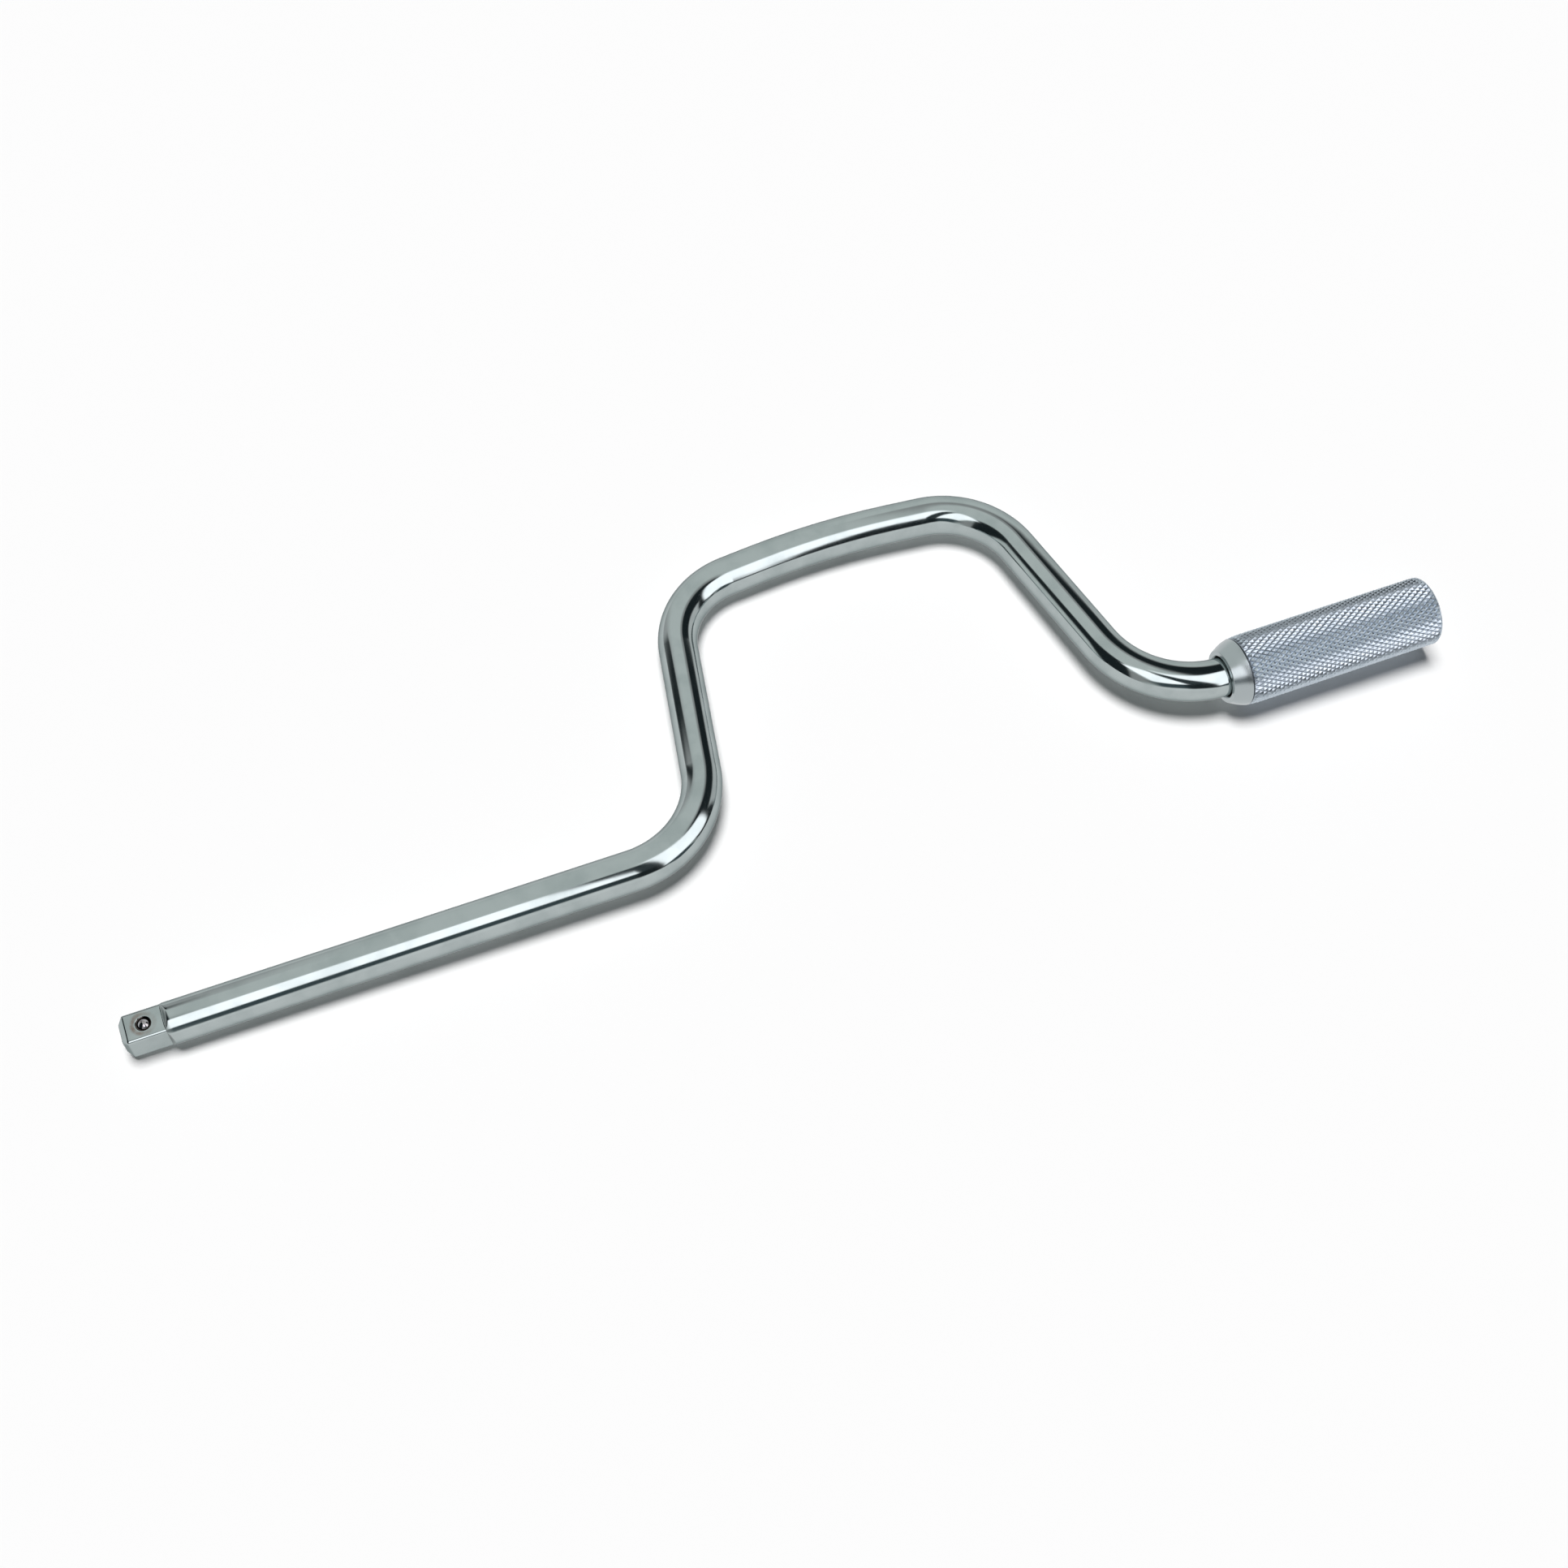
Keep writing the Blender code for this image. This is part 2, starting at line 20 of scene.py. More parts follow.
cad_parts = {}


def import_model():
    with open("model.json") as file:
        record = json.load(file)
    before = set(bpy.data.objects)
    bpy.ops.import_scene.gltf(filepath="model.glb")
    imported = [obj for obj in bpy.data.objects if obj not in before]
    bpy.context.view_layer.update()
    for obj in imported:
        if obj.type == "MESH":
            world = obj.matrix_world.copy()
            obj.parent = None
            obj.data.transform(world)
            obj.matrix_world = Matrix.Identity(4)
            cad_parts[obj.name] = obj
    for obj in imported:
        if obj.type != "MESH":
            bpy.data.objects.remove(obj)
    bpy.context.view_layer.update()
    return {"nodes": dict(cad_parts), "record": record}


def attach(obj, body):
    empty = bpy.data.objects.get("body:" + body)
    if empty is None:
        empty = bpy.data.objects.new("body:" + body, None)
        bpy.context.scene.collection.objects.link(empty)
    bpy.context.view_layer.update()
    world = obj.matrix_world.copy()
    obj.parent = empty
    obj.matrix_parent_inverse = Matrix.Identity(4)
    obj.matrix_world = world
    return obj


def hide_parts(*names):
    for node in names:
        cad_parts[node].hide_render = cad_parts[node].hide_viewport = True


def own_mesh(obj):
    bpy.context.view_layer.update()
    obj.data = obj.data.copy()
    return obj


MM = 0.001
WELD = 0.002 * MM
SOFT_EDGE = 0.1 * MM
ROUND_STEPS = 4
SQUARE_SIDES = 4
DIAMOND_SIDES = 4
FULL_TURN = 2 * math.pi
RIGHT_ANGLE = math.pi / 2
ORIGIN = Vector((0.0, 0.0, 0.0))
X_AXIS = Vector((1.0, 0.0, 0.0))
Z_AXIS = Vector((0.0, 0.0, 1.0))
FLAG_COLOUR = "#C8E8F4"
SOFTBOX_COLOUR = "#FEFCFF"
LOG = logging.getLogger("speeder_handle")

# Places of the colour sockets on a Mix node.
MIX_FACTOR, MIX_LOWER, MIX_UPPER, MIX_RESULT = 0, 6, 7, 2

Pair = tuple[float, float]
Profile = list[Pair]
Outline = Callable[[float], Pair]
Shape = bmesh.types.BMesh
Piece = bpy.types.Object
Socket = bpy.types.NodeSocket
Adder = Callable[..., Any]
Layer = tuple[Any, str, float | None]


class Body(Enum):
    """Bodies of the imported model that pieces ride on."""

    BAR = "bar"
    GRIP = "grip"
    DETENT = "detent"


class Slot(Enum):
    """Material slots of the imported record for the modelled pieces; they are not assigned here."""

    BAR = "polished_chrome"
    GRIP = "satin_chrome"
    BALL = "ball_steel"
    SPRING = "spring_steel"
    PLUG = "plug_chrome"


def linear(hex_colour: str, light: float = 1.0) -> tuple[float, ...]:
    """Turn an sRGB hex colour into linear values.

    Args:
        hex_colour: Colour as "#RRGGBB".
        light: Brightness that it is given.

    Returns:
        Linear red, green and blue, with an alpha of one.
    """
    values = [int(hex_colour[start:start + 2], 16) / 255 for start in (1, 3, 5)]
    channels = [value / 12.92 if value <= 0.04045 else ((value + 0.055) / 1.055) ** 2.4 for value in values]
    return (*(channel * light for channel in channels), 1.0)


def add_node(tree: bpy.types.NodeTree, kind: str, inputs: dict[Any, Any] | None = None, out: int | str = 0,
             **settings: Any) -> Socket | None:
    """Add one node with its settings and links.

    Args:
        tree: Node tree that takes the node.
        kind: Blender's name of the node type.
        inputs: Values or output sockets, by the name or place of the input that takes them.
        out: Name or place of the output that is wanted.
        settings: Properties of the node itself.

    Returns:
        The wanted output, or nothing from a node that has none.
    """
    node = tree.nodes.new(kind)
    for name, value in settings.items():
        setattr(node, name, value)
    for key, value in (inputs or {}).items():
        if isinstance(value, Socket):
            tree.links.new(value, node.inputs[key])
        else:
            node.inputs[key].default_value = value
    return node.outputs[out] if node.outputs else None


def bare_tree(owner: bpy.types.Material | bpy.types.World) -> Adder:
    """Start a node tree afresh.

    Args:
        owner: Material or world that the tree belongs to.

    Returns:
        The function add_node, tied to that tree.
    """
    owner.use_nodes = True
    owner.node_tree.nodes.clear()
    return partial(add_node, owner.node_tree)


def region(add: Adder, share: Any, *edges: tuple[Any, ...]) -> Any:
    """Find the share of a region that has soft edges.

    Args:
        add: Adds a node to the tree.
        share: Share inside every edge.
        edges: Each a measured value, its limits outside and inside, and the part left outside, if any.

    Returns:
        The share at each place.
    """
    for value, outside, inside, *left in edges:
        limits = {"From Min": outside, "From Max": inside, "To Min": left[0] if left else 0.0}
        part = add("ShaderNodeMapRange", {"Value": value} | limits, interpolation_type="SMOOTHSTEP")
        share = add("ShaderNodeMath", {0: part, 1: share}, operation="MULTIPLY")
    return share


def layered(add: Adder, colour: Any, layers: list[tuple[Any, Any]]) -> Any:
    """Lay shades over a colour.

    Args:
        add: Adds a node to the tree.
        colour: The lowest colour.
        layers: Shares with their linear colours, from the lowest up.

    Returns:
        The colour with every shade over it.
    """
    for share, shade in layers:
        colour = add("ShaderNodeMix", {MIX_FACTOR: share, MIX_LOWER: colour, MIX_UPPER: shade}, MIX_RESULT,
                     data_type="RGBA")
    return colour


def arc(centre: Pair, radius: float, first: float, last: float, steps: int) -> Profile:
    """Points on an arc of a profile.

    Args:
        centre: Middle of the arc.
        radius: Radius of the arc.
        first: Angle of the first point.
        last: Angle of the last point.
        steps: Number of stretches between the points.

    Returns:
        The points, both ends included.
    """
    angles = [first + (last - first) * step / steps for step in range(steps + 1)]
    return [(centre[0] + radius * math.cos(angle), centre[1] + radius * math.sin(angle)) for angle in angles]


def rounded(before: Pair, corner: Pair, after: Pair) -> Profile:
    """Round a corner between two points of a profile.

    Args:
        before: Where the rounding starts.
        corner: The sharp corner.
        after: Where the rounding ends.

    Returns:
        Points of the rounding, both ends included.
    """
    points = []
    for step in range(ROUND_STEPS + 1):
        share = step / ROUND_STEPS
        weights = ((1 - share) ** 2, 2 * share * (1 - share), share ** 2)
        pulls = list(zip(weights, (before, corner, after)))
        points.append(tuple(sum(weight * point[axis] for weight, point in pulls) for axis in range(2)))
    return points


@dataclass(frozen=True)
class ToolFrame:
    """Where the tool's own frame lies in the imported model.

    Attributes:
        origin: The tool's zero, at the shoulder behind the square.
        along: Direction from the drive square to the grip.
        across: Direction toward the bow.
        up: Direction out of the crank's plane.
    """

    origin: Vector
    along: Vector
    across: Vector
    up: Vector

    @classmethod
    def from_record(cls, record: dict[str, Any], square_length: float) -> "ToolFrame":
        """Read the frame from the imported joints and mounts.

        Args:
            record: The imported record.
            square_length: Distance from the tip's face to the shoulder.

        Returns:
            The tool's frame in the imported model.
        """
        joints = {joint["name"]: joint for joint in record["behaviour"]["joints"]}
        mounts = {mount["name"]: mount for mount in record["mounts"]}
        along = Vector(joints["grip_spin"]["axis"]).normalized()
        across = (-Vector(joints["ball_press"]["axis"])).cross(along).normalized()
        origin = Vector(mounts["drive_tip"]["pos_m"]) + along * square_length
        return cls(origin, along, across, along.cross(across))

    def matrix(self) -> Matrix:
        """Matrix from the tool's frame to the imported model."""
        turn = Matrix((self.along, self.across, self.up)).transposed()
        return Matrix.Translation(self.origin) @ turn.to_4x4()

    def point(self, along: float, up: float) -> Vector:
        """A point of the tool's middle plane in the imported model."""
        return self.origin + self.along * along + self.up * up


@dataclass(frozen=True)
class Axis:
    """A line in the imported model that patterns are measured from.

    Attributes:
        centre: The point on the line where distances along it are zero.
        direction: Unit direction of the line.
    """

    centre: Vector
    direction: Vector

    def measured(self, add: Adder, place: Socket) -> tuple[Socket, Socket]:
        """Measure the surface from the line.

        Args:
            add: Adds a node to the tree.
            place: Object coordinates.

        Returns:
            Distances in metres along the line, negative before its centre, and away from it.
        """
        offset = add("ShaderNodeVectorMath", {0: place, 1: self.centre}, operation="SUBTRACT")
        along = add("ShaderNodeVectorMath", {0: offset, 1: self.direction}, "Value", operation="DOT_PRODUCT")
        sideways = add("ShaderNodeVectorMath", {0: offset, 1: self.direction}, operation="CROSS_PRODUCT")
        return along, add("ShaderNodeVectorMath", {0: sideways}, "Value", operation="LENGTH")


@dataclass(frozen=True)
class Grain:
    """Fine noise in the relief of a surface.

    Attributes:
        width: Usual width of its bumps.
        depth: Depth of its bumps.
        detail: How much finer noise it carries.
    """

    width: float
    depth: float
    detail: float = 1.0


@dataclass(frozen=True)
class Finish:
    """A metal surface with its colour, gloss and relief worked out from real sizes.

    Attributes:
        name: Name of the material.
        colour: Clean colour of the metal.
        worn_colour: Colour where it is dull or hazy.
        roughness: Roughness where it is clean.
        worn_roughness: Roughness where it is dull.
        patch: Usual width of the dull patches.
        edge_tint: Colour that the metal keeps where it is seen edge-on.
        grains: Noise in its relief, from the coarsest.
        haze: Levels of noise between which it turns from clean to dull.
    """

    name: str
    colour: str
    worn_colour: str
    roughness: float
    worn_roughness: float
    patch: float = 3.0 * MM
    edge_tint: str = "#FFFFFF"
    grains: tuple[Grain, ...] = ()
    haze: Pair = (0.35, 0.75)

    def layers(self, add: Adder, place: Socket) -> list[Layer]:
        """Shares over the hazy metal with their colour and roughness: none, unless a finish has its own."""
        return []

    def marks(self, add: Adder, place: Socket) -> list[tuple[Socket, float]]:
        """Heights of tool marks with their depths: none, unless a finish has its own."""
        return []

    def material(self) -> bpy.types.Material:
        """Build the material.

        Returns:
            A node material with a metal shader that has this finish's looks.
        """
        material = bpy.data.materials.new(self.name)
        add = bare_tree(material)
        place = add("ShaderNodeTexCoord", out="Object")
        cloud = add("ShaderNodeTexNoise", {"Vector": place, "Scale": 1.0 / self.patch, "Detail": 3.0})
        haze = region(add, 1.0, (cloud, *self.haze))
        layers = [(haze, self.worn_colour, self.worn_roughness), *self.layers(add, place)]
        gloss: Any = self.roughness
        for share, _, roughness in layers:
            if roughness is not None:
                gloss = add("ShaderNodeMapRange", {"Value": share, "To Min": gloss, "To Max": roughness})
        heights = self.marks(add, place)
        for grain in self.grains:
            noise = {"Vector": place, "Scale": 1.0 / grain.width, "Detail": grain.detail}
            heights.append((add("ShaderNodeTexNoise", noise), grain.depth))
        relief: dict[str, Socket] = {}
        for height, depth in heights:
            bump = {"Height": height, "Distance": depth, "Strength": 1.0} | relief
            relief = {"Normal": add("ShaderNodeBump", bump)}
        colour = layered(add, linear(self.colour), [(share, linear(shade)) for share, shade, _ in layers])
        looks = {"Metallic": 1.0, "Specular Tint": linear(self.edge_tint), "Base Color": colour,
                 "Roughness": gloss} | relief
        add("ShaderNodeOutputMaterial", {"Surface": add("ShaderNodeBsdfPrincipled", looks)})
        return material


@dataclass(frozen=True, kw_only=True)
class PolishedPlate(Finish):
    """Bright chrome plate on a drawn and bent bar with a milled end.

    The limits of a soft edge are a distance outside it and one inside.

    Attributes:
        bar: The tool's axis, from the shoulder behind the square to the grip.
        hole: The axis of the ball's hole, from the square's upper flat outward.
        wall_colour: Colour of the milled wall behind the square.
        wall_roughness: Roughness of that wall.
        wall_share: How far the wall has that colour.
        wall_front: Limits of the wall at the square, along the tool.
        wall_back: Limits where the round bar starts, along the tool.
        wall_top: Limits at the round bar's surface, from the tool's axis.
        stain_colour: Colour of the stain that the staking leaves round the hole.
        stain_patch: Usual width of the stain's patches.
        stain_noise: Levels of noise between which the patches change.
        stain_share: Weakest and strongest share of the stain in its patches.
        stain_inner: Limits of the stain at the lip, from the hole's axis.
        stain_outer: Limits at its outer rim, from the hole's axis.
        stain_flat: Limits below the square's upper flat.
        stain_tip: Limits toward the tip, where it is stronger, and the part left on the other side.
        grime_colour: Colour of the painted shade in the dish and hole between the ball and its lip.
        grime_share: How far the painted shade darkens the plate.
        grime_outer: Limits of the painted shade at the rim of the lip's dish, from the hole's axis.
        grime_floor: Limits of the painted shade below the hole's bottom.
        grains: Long waves that drawing and bending leave under the plate, and the plate's own grain.
    """

    bar: Axis
    hole: Axis
    wall_colour: str = "#B4BABA"
    wall_roughness: float = 0.45
    wall_share: float = 0.85
    wall_front: Pair = (-0.1 * MM, 0.1 * MM)
    wall_back: Pair = (1.3 * MM, 1.2 * MM)
    wall_top: Pair = (6.34 * MM, 6.23 * MM)
    stain_colour: str = "#7A5C4A"
    stain_patch: float = 1.6 * MM
    stain_noise: Pair = (0.3, 0.7)
    stain_share: Pair = (0.25, 0.75)
    stain_inner: Pair = (2.4 * MM, 2.8 * MM)
    stain_outer: Pair = (4.3 * MM, 3.2 * MM)
    stain_flat: Pair = (-1.0 * MM, -0.5 * MM)
    stain_tip: tuple[float, float, float] = (-2.5 * MM, -8.5 * MM, 0.3)
    # Painted shade in the dish and hole round the ball.
    grime_colour: str = "#3A2B26"
    grime_share: float = 0.92
    grime_outer: Pair = (2.42 * MM, 2.18 * MM)
    grime_floor: Pair = (-8.2 * MM, -8.0 * MM)
    grains: tuple[Grain, ...] = (Grain(16.0 * MM, 0.018 * MM), Grain(0.7 * MM, 0.0005 * MM))

    def layers(self, add: Adder, place: Socket) -> list[Layer]:
        """The milled wall behind the square, the stain at the ball's hole, and painted shade in its dish
        round the ball.

        Args:
            add: Adds a node to the tree.
            place: Object coordinates.

        Returns:
            Shares with their colour and roughness.
        """
        along, reach = self.bar.measured(add, place)
        height, hole_reach = self.hole.measured(add, place)
        wall = region(add, self.wall_share, (along, *self.wall_front), (along, *self.wall_back),
                      (reach, *self.wall_top))
        cloud = add("ShaderNodeTexNoise", {"Vector": place, "Scale": 1.0 / self.stain_patch, "Detail": 2.0})
        limits = zip(("From Min", "From Max", "To Min", "To Max"), self.stain_noise + self.stain_share)
        patches = add("ShaderNodeMapRange", {"Value": cloud} | dict(limits))
        stain = region(add, patches, (hole_reach, *self.stain_inner), (hole_reach, *self.stain_outer),
                       (height, *self.stain_flat), (along, *self.stain_tip))
        # Painted shade: the dish and hole round the ball are darkened in colour.
        grime = region(add, self.grime_share, (hole_reach, *self.grime_outer), (height, *self.grime_floor))
        return [(wall, self.wall_colour, self.wall_roughness), (stain, self.stain_colour, None),
                (grime, self.grime_colour, None)]


@dataclass(frozen=True, kw_only=True)
class KnurledPlate(Finish):
    """Thinner, duller chrome plate on a turned and knurled sleeve.

    Attributes:
        grip: The grip's axis, from its mouth to its far end.
        nose_end: Length of the turned nose before the knurl.
        nose_colour: Colour of the turned nose, whose plate is a little greener.
        nose_roughness: Roughness of the turned nose.
        ring_colour: Colour of the painted shade in the ring groove between nose and knurl.
        ring_width: Width of that groove.
        groove_colour: Colour of the painted shade in the bottom of the knurl's grooves.
        groove_share: How far that painted shade darkens the grooves.
        groove_height: Height over their bottom where the painted shade ends.
        floor_radius: Radius at their bottom.
        feed: Spacing of the turning marks; drawn coarser than the real 0.1 mm so that they show.
        feed_depth: Depth of the turning marks.
        grains: The plate's grain.
    """

    grip: Axis
    nose_end: float
    nose_colour: str = "#AEB6B8"
    nose_roughness: float = 0.27
    # Painted shade in the ring groove.
    ring_colour: str = "#4A5054"
    ring_width: float
    # Painted shade in the bottom of the knurl's grooves.
    groove_colour: str = "#7A838C"
    groove_share: float = 0.6
    groove_height: float = 0.16 * MM
    floor_radius: float
    feed: float = 0.40 * MM
    feed_depth: float = 0.006 * MM
    grains: tuple[Grain, ...] = (Grain(0.3 * MM, 0.0012 * MM),)

    def layers(self, add: Adder, place: Socket) -> list[Layer]:
        """Colour of the nose, and painted shade in the ring groove and in the bottom of the knurl's grooves.

        Args:
            add: Adds a node to the tree.
            place: Object coordinates.

        Returns:
            Shares with their colour and roughness.
        """
        along, reach = self.grip.measured(add, place)
        past_nose = (along, self.nose_end, self.nose_end + SOFT_EDGE)
        ring_end = self.nose_end + self.ring_width
        nose = region(add, 1.0, (along, self.nose_end, self.nose_end - SOFT_EDGE))
        # Painted shade: the bottom of the knurl's grooves is darkened in colour.
        groove = region(add, self.groove_share, past_nose,
                        (reach, self.floor_radius + self.groove_height, self.floor_radius))
        # Painted shade: the ring groove is darkened in colour.
        ring = region(add, 1.0, past_nose, (along, ring_end + SOFT_EDGE, ring_end))
        return [(nose, self.nose_colour, self.nose_roughness), (groove, self.groove_colour, None),
                (ring, self.ring_colour, None)]

    def marks(self, add: Adder, place: Socket) -> list[tuple[Socket, float]]:
        """Turning marks on the nose.

        Args:
            add: Adds a node to the tree.
            place: Object coordinates.

        Returns:
            Their height with its depth.
        """
        along = self.grip.measured(add, place)[0]
        turns = add("ShaderNodeMath", {0: along, 1: FULL_TURN / self.feed}, operation="MULTIPLY")
        wave = add("ShaderNodeMath", {0: turns}, operation="SINE")
        return [(region(add, wave, (along, self.nose_end, self.nose_end - SOFT_EDGE)), self.feed_depth / 2)]


@dataclass(frozen=True, kw_only=True)
class TurnedPlate(Finish):
    """Plate over a face that a lathe has faced off, with rings about the tool's axis.

    Attributes:
        lathe: The axis that the face was turned about.
        ring_colour: Colour of the painted shade on the rings that would catch less light.
        ring_share: How far that painted shade darkens them.
        ring_noise: Levels of noise between which a ring changes.
        feed: Spacing of the rings; drawn coarser than the real 0.1 mm so that they show.
        feed_depth: Depth of the rings.
    """

    lathe: Axis
    # Painted shade on the lathe rings.
    ring_colour: str = "#8C9497"
    ring_share: float = 0.55
    ring_noise: Pair = (0.35, 0.65)
    feed: float = 0.9 * MM
    feed_depth: float = 0.012 * MM

    def rings(self, add: Adder, place: Socket) -> Socket:
        """Uneven rings about the lathe's axis."""
        noise = {"W": self.lathe.measured(add, place)[1], "Scale": 1.0 / self.feed, "Detail": 2.0}
        return add("ShaderNodeTexNoise", noise, noise_dimensions="1D")

    def layers(self, add: Adder, place: Socket) -> list[Layer]:
        """Painted shade on the rings.

        Args:
            add: Adds a node to the tree.
            place: Object coordinates.

        Returns:
            Their share with its colour.
        """
        low, high = self.ring_noise
        # Painted shade: rings that would catch less light are darkened in colour.
        tint = add("ShaderNodeMapRange", {"Value": self.rings(add, place), "From Min": low, "From Max": high,
                                          "To Max": self.ring_share})
        return [(tint, self.ring_colour, None)]

    def marks(self, add: Adder, place: Socket) -> list[tuple[Socket, float]]:
        """Relief of the rings."""
        return [(self.rings(add, place), self.feed_depth)]


@dataclass(frozen=True)
class DrawnSteel(Finish):
    """Bare or blackened steel with fine scratches.

    Attributes:
        patch: Usual width of the worn patches.
        grains: The scratches; drawn coarser than the real 0.02 mm so that they show.
    """

    patch: float = 1.0 * MM
    grains: tuple[Grain, ...] = (Grain(0.15 * MM, 0.002 * MM, 2.0),)


def placed(name: str, shape: Shape, material: bpy.types.Material | None = None) -> Piece:
    """Put a shape into the scene.

    Args:
        name: Name of the piece.
        shape: The shape, in its place; it is used up.
        material: Its material, if it has one.

    Returns:
        The piece, at the origin with its place in its mesh.
    """
    mesh = bpy.data.meshes.new(name)
    shape.to_mesh(mesh)
    shape.free()
    if material:
        mesh.materials.append(material)
    piece = bpy.data.objects.new(name, mesh)
    bpy.context.scene.collection.objects.link(piece)
    return piece


def lay(shape: Shape, place: Matrix) -> None:
    """Lay a closed shape somewhere and turn its faces outward."""
    bmesh.ops.transform(shape, matrix=place, verts=shape.verts)
    bmesh.ops.recalc_face_normals(shape, faces=shape.faces)


def smooth(mesh: bpy.types.Mesh, sharp_angle: float) -> None:
    """Shade a mesh smooth, apart from edges past an angle in degrees."""
    mesh.shade_smooth()
    mesh.set_sharp_from_angle(angle=math.radians(sharp_angle))


def finished_piece(name: str, shape: Shape, place: Matrix, finish: Finish, sharp_angle: float) -> Piece:
    """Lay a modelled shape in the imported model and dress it.

    Args:
        name: Name of the piece.
        shape: The shape, in the tool's frame; it is used up.
        place: Matrix from the tool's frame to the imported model.
        finish: The finish that it takes.
        sharp_angle: Angle in degrees past which an edge stays sharp.

    Returns:
        The piece.
    """
    lay(shape, place)
    piece = placed(name, shape, finish.material())
    smooth(piece.data, sharp_angle)
    return piece


def weighted_normals(piece: Piece) -> None:
    """Keep flat faces flat beside their small roundings."""
    modifier = piece.modifiers.new("weighted_normals", "WEIGHTED_NORMAL")
    modifier.keep_sharp = True


def join_frame(piece: Piece, body: Body, node: str) -> None:
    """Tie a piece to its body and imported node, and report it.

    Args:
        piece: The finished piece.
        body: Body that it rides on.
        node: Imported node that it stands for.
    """
    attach(piece, body.value)
    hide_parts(node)
    LOG.info("%s: %d faces, rides on %s, stands for %s", piece.name, len(piece.data.polygons), body.value,
             node)


def spun(profile: Profile, axis: Vector, steps: int) -> Shape:
    """Turn a profile about an axis through the origin.

    Args:
        profile: Points as distance along the axis and out from it.
        axis: Direction of the axis, X or Z of the tool.
        steps: Number of steps in the full turn.

    Returns:
        The turned shape.
    """
    shape = bmesh.new()
    outward = Z_AXIS if axis.x else X_AXIS
    verts = [shape.verts.new(axis * along + outward * reach) for along, reach in profile]
    edges = [shape.edges.new(pair) for pair in zip(verts, verts[1:])]
    bmesh.ops.spin(shape, geom=verts + edges, cent=ORIGIN, axis=axis, angle=FULL_TURN, steps=steps,
                   use_merge=True)
    bmesh.ops.remove_doubles(shape, verts=shape.verts, dist=WELD)
    return shape


def edges_of(made: list[Any]) -> list[bmesh.types.BMEdge]:
    """The edges among what an operator has made."""
    return [item for item in made if isinstance(item, bmesh.types.BMEdge)]


@dataclass(frozen=True)
class Bend:
    """One round bend of the bar's centre line.

    Attributes:
        start: Where the bend starts.
        centre: Middle of its arc.
        turn: Signed angle, positive toward the left.
    """

    start: Vector
    centre: Vector
    turn: float

    @property
    def end(self) -> Vector:
        """Where the bend ends."""
        return self.centre + Matrix.Rotation(self.turn, 3, "Z") @ (self.start - self.centre)


class BarSweep:
    """Draws a bar out of one ring of edges, straight on or round a bend."""

    def __init__(self, radius: float, segments: int, crowding: float, start: Vector) -> None:
        """Start with one ring about the tool's axis.

        Args:
            radius: Radius of the bar.
            segments: Number of edges in the ring.
            crowding: How much closer the edges stand toward the corners of the square, from zero to one.
            start: Middle of the ring.
        """
        self.shape = bmesh.new()
        self.here = start
        verts = bmesh.ops.create_circle(self.shape, cap_ends=False, radius=radius, segments=segments)["verts"]
        for vert in verts:
            turn = math.atan2(vert.co.y, vert.co.x)
            turn += crowding * math.sin(SQUARE_SIDES * turn) / SQUARE_SIDES
            vert.co = (radius * math.cos(turn), radius * math.sin(turn), 0.0)
        bmesh.ops.rotate(self.shape, verts=verts, cent=ORIGIN, matrix=Matrix.Rotation(RIGHT_ANGLE, 3, "Y"))
        bmesh.ops.translate(self.shape, verts=verts, vec=start)
        self.first_ring = self.ring = list(self.shape.edges)

    def extruded(self) -> list[bmesh.types.BMVert]:
        """Copy the ring and join the copy to it.

        Returns:
            Vertices of the new ring.
        """
        made = bmesh.ops.extrude_edge_only(self.shape, edges=self.ring)["geom"]
        verts = [item for item in made if isinstance(item, bmesh.types.BMVert)]
        known = set(verts)
        self.ring = [edge for edge in edges_of(made) if set(edge.verts) <= known]
        return verts

    def straight_to(self, place: Vector) -> None:
        """Draw the bar straight on to a place of its centre line."""
        bmesh.ops.translate(self.shape, verts=self.extruded(), vec=place - self.here)
        self.here = place

    def round_bend(self, bend: Bend, step: float) -> None:
        """Draw the bar round a bend.

        Args:
            bend: The bend.
            step: Largest angle between rings.
        """
        made = bmesh.ops.spin(self.shape, geom=self.ring, cent=bend.centre, axis=Z_AXIS, angle=bend.turn,
                              steps=math.ceil(abs(bend.turn) / step))
        self.ring = edges_of(made["geom_last"])
        self.here = bend.end

    def shaped(self, outline: Outline) -> None:
        """Add a ring about the tool's axis with its own outline.

        Args:
            outline: Gives the place along the axis and the radius for an angle about it.
        """
        for vert in self.extruded():
            turn = math.atan2(vert.co.z, vert.co.y)
            along, reach = outline(turn)
            vert.co = (along, reach * math.cos(turn), reach * math.sin(turn))

    def cap(self) -> None:
        """Close the last ring with a flat face."""
        bmesh.ops.edgeloop_fill(self.shape, edges=self.ring)


